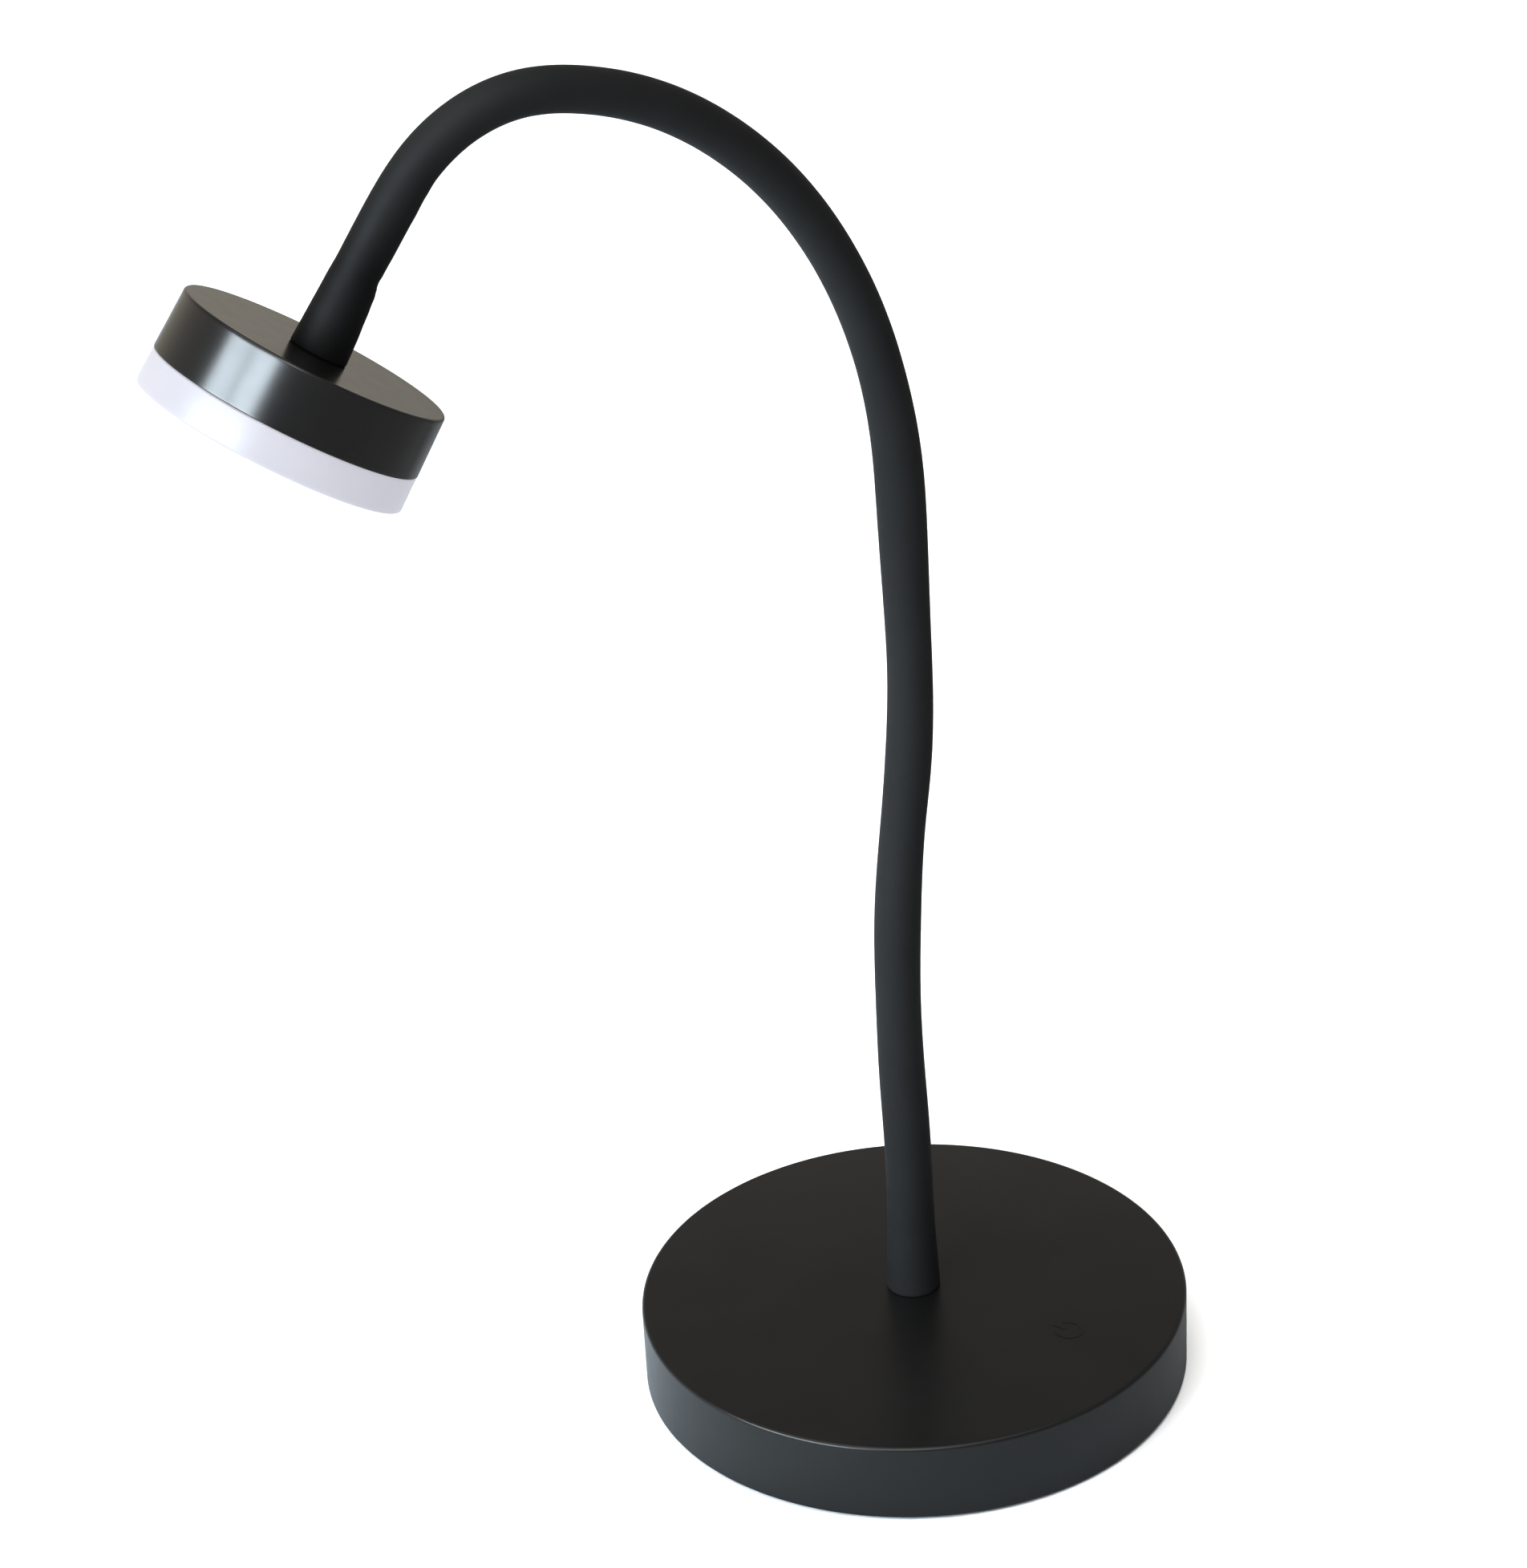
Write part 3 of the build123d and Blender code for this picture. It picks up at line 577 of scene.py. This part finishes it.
def addNode(tree, kind, inputs=None, **settings):
    node = tree.nodes.new(kind)
    for key, value in settings.items():
        setattr(node, key, value)
    for key, value in (inputs or {}).items():
        if isinstance(value, bpy.types.NodeSocket):
            tree.links.new(value, node.inputs[key])
        else:
            node.inputs[key].default_value = value
    return node


def newGroup(name, takes, gives):
    tree = bpy.data.node_groups.new(name, "ShaderNodeTree")
    for label, kind, value in takes:
        socket = tree.interface.new_socket(name=label, in_out="INPUT", socket_type=kind)
        if value is not None:
            socket.default_value = value
    for label in gives:
        tree.interface.new_socket(name=label, in_out="OUTPUT", socket_type="NodeSocketFloat")
    return tree, tree.nodes.new("NodeGroupInput").outputs, tree.nodes.new("NodeGroupOutput")


def mathNode(tree, operation, *values):
    node = addNode(tree, "ShaderNodeMath", operation=operation)
    for i, value in enumerate(values):
        if isinstance(value, bpy.types.NodeSocket):
            tree.links.new(value, node.inputs[i])
        else:
            node.inputs[i].default_value = value
    return node.outputs[0]


vectorIn, numberIn = "NodeSocketVector", "NodeSocketFloat"


def sizedPlace(tree, given):
    # the place in steps of the given size in mm
    perMetre = mathNode(tree, "DIVIDE", 1000.0, given["Size"])
    return addNode(tree, "ShaderNodeVectorMath", operation="SCALE",
                   inputs={"Vector": given["Place"], "Scale": perMetre}).outputs["Vector"]


grainMix = {"pits": 0.65, "fineScale": 2.3}


def makeGrain():
    # spark-eroded or blasted surface: small rounded pits over finer noise, height 0 to 1
    tree, given, out = newGroup("moulded grain", [("Place", vectorIn, None), ("Size", numberIn, 0.5),
                                                  ("Softness", numberIn, 0.5)], ["Height"])
    scaled = sizedPlace(tree, given)
    cells = addNode(tree, "ShaderNodeTexVoronoi", feature="SMOOTH_F1",
                    inputs={"Vector": scaled, "Scale": 1.0, "Smoothness": given["Softness"]})
    pits = cells.outputs["Distance"]
    fine = addNode(tree, "ShaderNodeTexNoise",
                   inputs={"Vector": scaled, "Scale": grainMix["fineScale"], "Detail": 2.0}).outputs["Fac"]
    height = mathNode(tree, "ADD", mathNode(tree, "MULTIPLY", pits, grainMix["pits"]),
                      mathNode(tree, "MULTIPLY", fine, 1 - grainMix["pits"]))
    tree.links.new(height, out.inputs["Height"])
    return tree


noiseLow, noiseHigh = 0.3, 0.7  # most of the noise lies between these


def makeDrift():
    # slow change between two values over the surface, as handling and moulding leave it
    tree, given, out = newGroup("slow drift", [("Place", vectorIn, None), ("Size", numberIn, 20.0),
                                               ("Low", numberIn, 0.4), ("High", numberIn, 0.5)], ["Value"])
    scaled = sizedPlace(tree, given)
    cloud = addNode(tree, "ShaderNodeTexNoise",
                    inputs={"Vector": scaled, "Scale": 1.0, "Detail": 4.0}).outputs["Fac"]
    spread = addNode(tree, "ShaderNodeMapRange",
                     inputs={"Value": cloud, "From Min": noiseLow, "From Max": noiseHigh,
                             "To Min": given["Low"], "To Max": given["High"]}).outputs["Result"]
    tree.links.new(spread, out.inputs["Value"])
    return tree


dustMix = {"filmScale": 45.0, "filmAbove": 0.35, "film": 0.5, "speckScale": 160.0, "speckSize": 0.035,
           "speckAbove": 0.93, "colour": (0.32, 0.31, 0.29), "rougher": 0.3}


def makeDust():
    # a thin film and a few specks on what faces up
    tree, given, out = newGroup("fine dust", [("Place", vectorIn, None), ("Amount", numberIn, 0.2)], ["Mask"])
    upward = addNode(tree, "ShaderNodeSeparateXYZ",
                     inputs={"Vector": addNode(tree, "ShaderNodeNewGeometry").outputs["Normal"]}).outputs["Z"]
    facing = mathNode(tree, "MAXIMUM", upward, 0.0)
    cloud = addNode(tree, "ShaderNodeTexNoise",
                    inputs={"Vector": given["Place"], "Scale": dustMix["filmScale"], "Detail": 6.0})
    film = mathNode(tree, "SUBTRACT", cloud.outputs["Fac"], dustMix["filmAbove"])
    film = mathNode(tree, "MULTIPLY", film, dustMix["film"])
    cells = addNode(tree, "ShaderNodeTexVoronoi",
                    inputs={"Vector": given["Place"], "Scale": dustMix["speckScale"]})
    speck = mathNode(tree, "LESS_THAN", cells.outputs["Distance"], dustMix["speckSize"])
    chance = addNode(tree, "ShaderNodeSeparateXYZ", inputs={"Vector": cells.outputs["Color"]}).outputs["X"]
    rare = mathNode(tree, "GREATER_THAN", chance, dustMix["speckAbove"])
    both = mathNode(tree, "ADD", mathNode(tree, "MAXIMUM", film, 0.0),
                    mathNode(tree, "MULTIPLY", speck, rare))
    mask = mathNode(tree, "MULTIPLY", mathNode(tree, "MULTIPLY", both, facing), given["Amount"])
    tree.links.new(mathNode(tree, "MINIMUM", mask, 1.0), out.inputs["Mask"])
    return tree


rubMix = {"gain": 4.0, "patchScale": 260.0}


def makeEdgeRub():
    # where corners have been handled: 1 on a sharp edge, 0 on the flats, broken up by noise
    tree, given, out = newGroup("rubbed edges", [("Place", vectorIn, None), ("Width", numberIn, 0.4),
                                                 ("Amount", numberIn, 0.5)], ["Mask"])
    rounded = addNode(tree, "ShaderNodeBevel", samples=4,
                      inputs={"Radius": mathNode(tree, "MULTIPLY", given["Width"], mm)}).outputs["Normal"]
    true = addNode(tree, "ShaderNodeNewGeometry").outputs["Normal"]
    agree = addNode(tree, "ShaderNodeVectorMath", operation="DOT_PRODUCT")
    tree.links.new(rounded, agree.inputs[0])
    tree.links.new(true, agree.inputs[1])
    edge = mathNode(tree, "MULTIPLY", mathNode(tree, "SUBTRACT", 1.0, agree.outputs["Value"]), rubMix["gain"])
    worn = addNode(tree, "ShaderNodeTexNoise",
                   inputs={"Vector": given["Place"], "Scale": rubMix["patchScale"]}).outputs["Fac"]
    mask = mathNode(tree, "MULTIPLY", mathNode(tree, "MULTIPLY", edge, worn), given["Amount"])
    tree.links.new(mathNode(tree, "MINIMUM", mathNode(tree, "MAXIMUM", mask, 0.0), 1.0), out.inputs["Mask"])
    return tree


effects = {"grain": makeGrain(), "drift": makeDrift(), "dust": makeDust(), "rub": makeEdgeRub()}


def effect(tree, kind, **values):
    node = addNode(tree, "ShaderNodeGroup", node_tree=effects[kind])
    for label, value in values.items():
        if isinstance(value, bpy.types.NodeSocket):
            tree.links.new(value, node.inputs[label])
        else:
            node.inputs[label].default_value = value
    return node.outputs[0]


def mixColour(tree, mask, first, second):
    # inputs 0, 6 and 7 of the mix are its share and two colours
    node = addNode(tree, "ShaderNodeMix", data_type="RGBA")
    for i, value in ((0, mask), (6, first), (7, second)):
        if isinstance(value, bpy.types.NodeSocket):
            tree.links.new(value, node.inputs[i])
        else:
            node.inputs[i].default_value = (*value, 1.0) if i > 0 else value
    return node.outputs[2]


usualLook = {"along": False, "metal": 0.0, "specular": 0.5, "roughPatch": 0.6, "softness": 0.6,
             "bumpDepth": 0.02, "rub": 0.0, "dust": 0.0, "paintedShadeColour": None, "shader": {}}


def finish(name, ownLook):
    # one finish from its dictionary; "along" reads the neck's straightened place instead of the object's
    look = {**usualLook, **ownLook}
    material = bpy.data.materials.new(name)
    material.use_nodes = True
    tree = material.node_tree
    shader = tree.nodes["Principled BSDF"]
    if look["along"]:
        place = addNode(tree, "ShaderNodeAttribute", attribute_name="straightPlace").outputs["Vector"]
    else:
        place = addNode(tree, "ShaderNodeTexCoord").outputs["Object"]
    tint = effect(tree, "drift", Place=place, Size=look["patch"], Low=0.0, High=1.0)
    colour = mixColour(tree, tint, look["colour"], look["colour2"])
    # optional painted shade: the colour blends to a darker one along the neck towards the head
    if look["paintedShadeColour"]:
        along = addNode(tree, "ShaderNodeSeparateXYZ", inputs={"Vector": place}).outputs["Z"]
        start, full = ((neckLength - near) * mm for near in look["paintedShadeReach"])
        paintedShadeNearHead = addNode(tree, "ShaderNodeMapRange",
                           inputs={"Value": along, "From Min": start, "From Max": full}).outputs["Result"]
        colour = mixColour(tree, paintedShadeNearHead, colour, look["paintedShadeColour"])
    roughLow, roughHigh = look["rough"]
    rough = effect(tree, "drift", Place=place, Size=look["patch"] * look["roughPatch"],
                   Low=roughLow, High=roughHigh)
    if look["rub"]:
        rub = effect(tree, "rub", Place=place, Width=look["rubWidth"], Amount=look["rub"])
        colour = mixColour(tree, rub, colour, look["rubColour"])
    if look["dust"]:
        dust = effect(tree, "dust", Place=place, Amount=look["dust"])
        colour = mixColour(tree, dust, colour, dustMix["colour"])
        rough = mathNode(tree, "ADD", rough, mathNode(tree, "MULTIPLY", dust, dustMix["rougher"]))
    tree.links.new(colour, shader.inputs["Base Color"])
    tree.links.new(rough, shader.inputs["Roughness"])
    height = effect(tree, "grain", Place=place, Size=look["grain"], Softness=look["softness"])
    bump = addNode(tree, "ShaderNodeBump", inputs={"Height": height, "Strength": look["bump"],
                                                  "Distance": look["bumpDepth"] * mm})
    tree.links.new(bump.outputs["Normal"], shader.inputs["Normal"])
    shader.inputs["Metallic"].default_value = look["metal"]
    shader.inputs["Specular IOR Level"].default_value = look["specular"]
    for label, value in look["shader"].items():
        shader.inputs[label].default_value = value
    return material


def dress(name, look, *pieces):
    material = finish(name, look)
    for piece in pieces:
        piece.data.materials.clear()
        piece.data.materials.append(material)
    return material


# finishes of what shows

housingLook = {"colour": (0.0048, 0.0047, 0.0046), "colour2": (0.0058, 0.0056, 0.0054), "patch": 24.0,
               "rough": (0.29, 0.32), "specular": 0.5, "grain": 0.45, "bump": 0.25, "bumpDepth": 0.02,
               "dust": 0.02}
dress("housing moulded black", housingLook, baseHousing)

sleeveLook = {"along": True, "colour": (0.0152, 0.0156, 0.0161), "colour2": (0.0178, 0.0182, 0.0187),
              "patch": 18.0, "rough": (0.58, 0.65), "specular": 0.18, "grain": 0.35, "bump": 0.3,
              "bumpDepth": 0.02,
              # painted shade: the sleeve's colour darkens towards the head, standing in for the shade there;
              # where it starts and is full, in mm from the head
              "paintedShadeColour": (0.0034, 0.0035, 0.0036), "paintedShadeReach": (68.0, 24.0)}
dress("sleeve silicone black", sleeveLook, *sleevePieces)

headLook = {"colour": (0.0050, 0.0049, 0.0050), "colour2": (0.0060, 0.0059, 0.0059), "patch": 12.0,
            "rough": (0.22, 0.24), "specular": 0.7, "grain": 0.3, "bump": 0.2, "bumpDepth": 0.008}
dress("head satin black", headLook, headHousing)

# painted glow: the lamp is off, and the emission lifts and evens the diffuser's shading in place of light
# spreading through the plastic
diffuserPaintedGlowLook = {"colour": (0.20, 0.197, 0.213), "colour2": (0.22, 0.217, 0.233), "patch": 20.0,
                "rough": (0.32, 0.38), "specular": 0.5, "grain": 0.2, "bump": 0.12, "bumpDepth": 0.008,
                "shader": {"Subsurface Weight": 0.6, "Subsurface Radius": (1.0, 1.0, 1.0),
                           "Subsurface Scale": 0.006, "Emission Color": (0.91, 0.905, 1.0, 1.0),
                           "Emission Strength": 0.52}}
dress("diffuser frosted white painted glow", diffuserPaintedGlowLook, diffuserCup)

padLook = {"colour": (0.022, 0.022, 0.022), "colour2": (0.030, 0.030, 0.030), "patch": 10.0,
           "rough": (0.8, 0.92), "specular": 0.2, "grain": 0.25, "bump": 0.7, "bumpDepth": 0.06}
dress("pad foam rubber", padLook, footPad)

coreLook = {"along": True, "colour": (0.38, 0.38, 0.40), "colour2": (0.46, 0.46, 0.47), "patch": 6.0,
            "metal": 1.0, "rough": (0.24, 0.38), "grain": 0.2, "bump": 0.2, "bumpDepth": 0.01}
dress("core wound steel", coreLook, *corePieces)
leadLook = {"along": True, "colour": (0.66, 0.66, 0.64), "colour2": (0.72, 0.72, 0.70), "patch": 8.0,
            "rough": (0.42, 0.5), "grain": 0.3, "bump": 0.15, "bumpDepth": 0.01}
dress("lead jacket white", leadLook, *leadPieces)
print("visible finishes made")

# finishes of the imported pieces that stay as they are

zinc = {"colour": (0.50, 0.51, 0.53), "colour2": (0.58, 0.58, 0.57), "patch": 5.0, "metal": 1.0,
        "rough": (0.26, 0.40), "grain": 0.3, "bump": 0.25, "bumpDepth": 0.012,
        "rub": 0.4, "rubColour": (0.7, 0.7, 0.7), "rubWidth": 0.2}
turnedSteel = {**zinc, "colour": (0.46, 0.46, 0.47), "colour2": (0.52, 0.52, 0.52), "rough": (0.18, 0.28)}
packedLooks = {
    "plate zinc steel": (zinc, ["base_plate", "roof_brace", "base_washer", "head_washer", "base_nut",
                                "head_nut", "case_screws", "weight_screws", "board_screws",
                                "led_board_screws", "board_spacers"]),
    "ferrule turned steel": (turnedSteel, ["base_ferrule", "head_ferrule"]),
    "weight cast iron": ({"colour": (0.09, 0.09, 0.09), "colour2": (0.14, 0.13, 0.125), "patch": 6.0,
                          "metal": 0.6, "rough": (0.6, 0.8), "grain": 0.8, "bump": 0.8,
                          "bumpDepth": 0.12}, ["base_weight"]),
    "board green mask": ({"colour": (0.02, 0.14, 0.05), "colour2": (0.03, 0.19, 0.07), "patch": 3.0,
                          "rough": (0.3, 0.4), "grain": 0.4, "bump": 0.3, "bumpDepth": 0.02},
                         ["control_board"]),
    "component moulded black": ({"colour": (0.02, 0.02, 0.02), "colour2": (0.03, 0.03, 0.03), "patch": 2.0,
                                 "rough": (0.45, 0.6), "grain": 0.15, "bump": 0.3, "bumpDepth": 0.01},
                                ["board_parts"]),
    "battery pouch silver": ({"colour": (0.52, 0.54, 0.56), "colour2": (0.64, 0.66, 0.68), "patch": 9.0,
                              "metal": 0.7, "rough": (0.3, 0.45), "grain": 1.5, "bump": 0.5,
                              "bumpDepth": 0.05}, ["battery"]),
    "tape white foam": ({"colour": (0.68, 0.68, 0.65), "colour2": (0.78, 0.78, 0.75), "patch": 4.0,
                         "rough": (0.8, 0.9), "grain": 0.3, "bump": 0.6, "bumpDepth": 0.05},
                        ["battery_tape"]),
    "socket nickel": ({"colour": (0.58, 0.57, 0.55), "colour2": (0.66, 0.65, 0.63), "patch": 2.0,
                       "metal": 1.0, "rough": (0.16, 0.28), "grain": 0.1, "bump": 0.2, "bumpDepth": 0.006,
                       "rub": 0.3,
                       "rubColour": (0.8, 0.78, 0.74), "rubWidth": 0.1}, ["charging_socket"]),
    "sensor amber film": ({"colour": (0.42, 0.17, 0.02), "colour2": (0.50, 0.23, 0.04), "patch": 4.0,
                           "rough": (0.18, 0.28), "grain": 0.6, "bump": 0.2, "bumpDepth": 0.01,
                           "shader": {"Coat Weight": 0.5}}, ["touch_sensor"]),
    "led board white mask": ({"colour": (0.80, 0.80, 0.78), "colour2": (0.86, 0.86, 0.84), "patch": 5.0,
                              "rough": (0.35, 0.45), "grain": 0.3, "bump": 0.2, "bumpDepth": 0.01},
                             ["led_board"]),
    "led phosphor": ({"colour": (0.78, 0.60, 0.12), "colour2": (0.84, 0.68, 0.20), "patch": 1.0,
                      "rough": (0.3, 0.4), "grain": 0.15, "bump": 0.3, "bumpDepth": 0.01,
                      "shader": {"Subsurface Weight": 0.2, "Subsurface Scale": 0.0005}}, ["leds"]),
    "reflector moulded white": ({"colour": (0.84, 0.84, 0.82), "colour2": (0.88, 0.88, 0.86), "patch": 10.0,
                                 "rough": (0.3, 0.4), "grain": 0.4, "bump": 0.2, "bumpDepth": 0.01},
                                ["reflector"]),
}
for name, (look, pieces) in packedLooks.items():
    dress(name, look, *[nodes[piece] for piece in pieces])
print("inner finishes made")

# floor, lights and camera

ground = {"radius": 1100.0, "centre": (0.1, 0.2), "top": -0.1, "bottom": -0.4, "sides": 96,
          # light that it gives back to the lamp: colours, direction from near to far, its reach in metres
          "bounceNear": (0.37, 0.41, 0.44), "bounceFar": (0.12, 0.115, 0.11),
          "bounceTowards": (1.0, -0.25, 0.0), "bounceReach": (-0.075, 0.31), "bouncePower": 0.5}
groundLook = {"colour": (0.86, 0.86, 0.86), "colour2": (0.88, 0.88, 0.88), "patch": 300.0,
              "rough": (0.7, 0.8), "specular": 0.1, "grain": 2.0, "bump": 0.05}
groundOutline = [(0, ground["top"]), (ground["radius"], ground["top"]), (ground["radius"], ground["bottom"]),
                 (0, ground["bottom"])]
floor = turnedSolid("floor", groundOutline, Matrix.Translation((*ground["centre"], 0)), ground["sides"],
                    closed=False)
floorSkin = dress("floor pale", groundLook, floor)
# the camera sees the pale floor, and the lamp gets a bounce that is brighter on the window side
tree = floorSkin.node_tree
across = addNode(tree, "ShaderNodeVectorMath", operation="DOT_PRODUCT")
tree.links.new(addNode(tree, "ShaderNodeTexCoord").outputs["Object"], across.inputs[0])
across.inputs[1].default_value = ground["bounceTowards"]
near, far = ground["bounceReach"]
dim = addNode(tree, "ShaderNodeMapRange",
              inputs={"Value": across.outputs["Value"], "From Min": near, "From Max": far})
dim = mathNode(tree, "POWER", dim.outputs["Result"], ground["bouncePower"])
bounce = addNode(tree, "ShaderNodeBsdfDiffuse",
                 inputs={"Color": mixColour(tree, dim, ground["bounceNear"], ground["bounceFar"])})
straightSeen = addNode(tree, "ShaderNodeLightPath").outputs["Is Camera Ray"]
choose = addNode(tree, "ShaderNodeMixShader", inputs={0: straightSeen})
tree.links.new(bounce.outputs["BSDF"], choose.inputs[1])
tree.links.new(tree.nodes["Principled BSDF"].outputs["BSDF"], choose.inputs[2])
tree.links.new(choose.outputs["Shader"], tree.nodes["Material Output"].inputs["Surface"])


def softbox(name, azimuth, elevation, distance, width, tall, power, colour, aim=(0, 0, 0.2)):
    # panel light aimed at a point from that direction, with the azimuth from +X; sizes in metres
    a, e = math.radians(azimuth), math.radians(elevation)
    away = Vector((math.cos(e) * math.cos(a), math.cos(e) * math.sin(a), math.sin(e)))
    light = bpy.data.lights.new(name, "AREA")
    light.shape, light.size, light.size_y = "RECTANGLE", width, tall
    light.energy, light.color = power, colour
    box = bpy.data.objects.new(name, light)
    target = Vector(aim)
    box.location = target + distance * away
    box.rotation_euler = (target - box.location).to_track_quat("-Z", "Y").to_euler()
    box.visible_camera = False
    scene.collection.objects.link(box)
    return box


window = {"elevation": 24, "distance": 2.6, "tall": 0.85, "colour": (0.79, 0.91, 1.0),
          "aim": (-0.17, 0, 0.37)}
softbox("window_left", azimuth=-157.5, width=0.96, power=47, **window)
softbox("window_right", azimuth=176.0, width=1.00, power=48, **window)
softbox("overhead", azimuth=200, elevation=80, distance=2.6, width=2.6, tall=2.6, power=20,
        colour=(1.0, 0.98, 0.95))
softbox("front", azimuth=-130, elevation=52, distance=2.6, width=1.2, tall=1.2, power=13,
        colour=(1.0, 1.0, 1.0))
# this one falls on the floor alone and keeps it white
floorLight = softbox("floor_light", azimuth=90, elevation=89, distance=4.0, width=7.0, tall=7.0, power=330,
                     colour=(1.0, 1.0, 1.0))
onlyFloor = bpy.data.collections.new("lit from above")
onlyFloor.objects.link(floor)
floorLight.light_linking.receiver_collection = onlyFloor

# white to the camera; to the lamp a dim room, warmer and brighter low down behind it
room = {"colour": (0.22, 0.215, 0.215), "farColour": (0.235, 0.22, 0.205), "lowColour": (0.56, 0.515, 0.43),
        "farTowards": (-0.3, 0.95, 0.0), "farReach": (-0.3, 0.7), "lowReach": (0.5, 0.0)}
world = bpy.data.worlds.new("studio")
scene.world = world
world.use_nodes = True
sky = world.node_tree
sky.nodes.clear()
seen = addNode(sky, "ShaderNodeLightPath").outputs["Is Camera Ray"]
around = addNode(sky, "ShaderNodeTexCoord").outputs["Generated"]
towards = addNode(sky, "ShaderNodeVectorMath", operation="DOT_PRODUCT")
sky.links.new(around, towards.inputs[0])
towards.inputs[1].default_value = room["farTowards"]
start, full = room["farReach"]
behind = addNode(sky, "ShaderNodeMapRange",
                 inputs={"Value": towards.outputs["Value"], "From Min": start, "From Max": full})
height = addNode(sky, "ShaderNodeSeparateXYZ", inputs={"Vector": around}).outputs["Z"]
start, full = room["lowReach"]
below = addNode(sky, "ShaderNodeMapRange", inputs={"Value": height, "From Min": start, "From Max": full})
farColour = mixColour(sky, below.outputs["Result"], room["farColour"], room["lowColour"])
roomColour = mixColour(sky, behind.outputs["Result"], room["colour"], farColour)
shown = mixColour(sky, seen, roomColour, (1.0, 1.0, 1.0))
backdrop = addNode(sky, "ShaderNodeBackground", inputs={"Color": shown, "Strength": 1.0})
addNode(sky, "ShaderNodeOutputWorld", inputs={"Surface": backdrop.outputs["Background"]})

view = {"place": (-1.0407, -1.6917, 1.3735), "down": 30.568, "turn": 30.538, "roll": -2.819,
        "lens": 187.27, "sensor": 36.0, "clip": (0.05, 50.0)}
cameraData = bpy.data.cameras.new("camera")
cameraData.sensor_fit, cameraData.sensor_height, cameraData.lens = "VERTICAL", view["sensor"], view["lens"]
cameraData.clip_start, cameraData.clip_end = view["clip"]
camera = bpy.data.objects.new("camera", cameraData)
down, turn, roll = (math.radians(view[key]) for key in ("down", "turn", "roll"))
forward = Vector((math.sin(turn) * math.cos(down), math.cos(turn) * math.cos(down), -math.sin(down)))
level = Vector((math.cos(turn), -math.sin(turn), 0))
upright = level.cross(forward)
right = math.cos(roll) * level + math.sin(roll) * upright
up = math.cos(roll) * upright - math.sin(roll) * level
camera.matrix_world = Matrix((
    (right.x, up.x, -forward.x, view["place"][0]), (right.y, up.y, -forward.y, view["place"][1]),
    (right.z, up.z, -forward.z, view["place"][2]), (0, 0, 0, 1)))
scene.collection.objects.link(camera)
bpy.context.scene.camera = camera
scene.view_settings.view_transform = "Standard"
print("studio set")
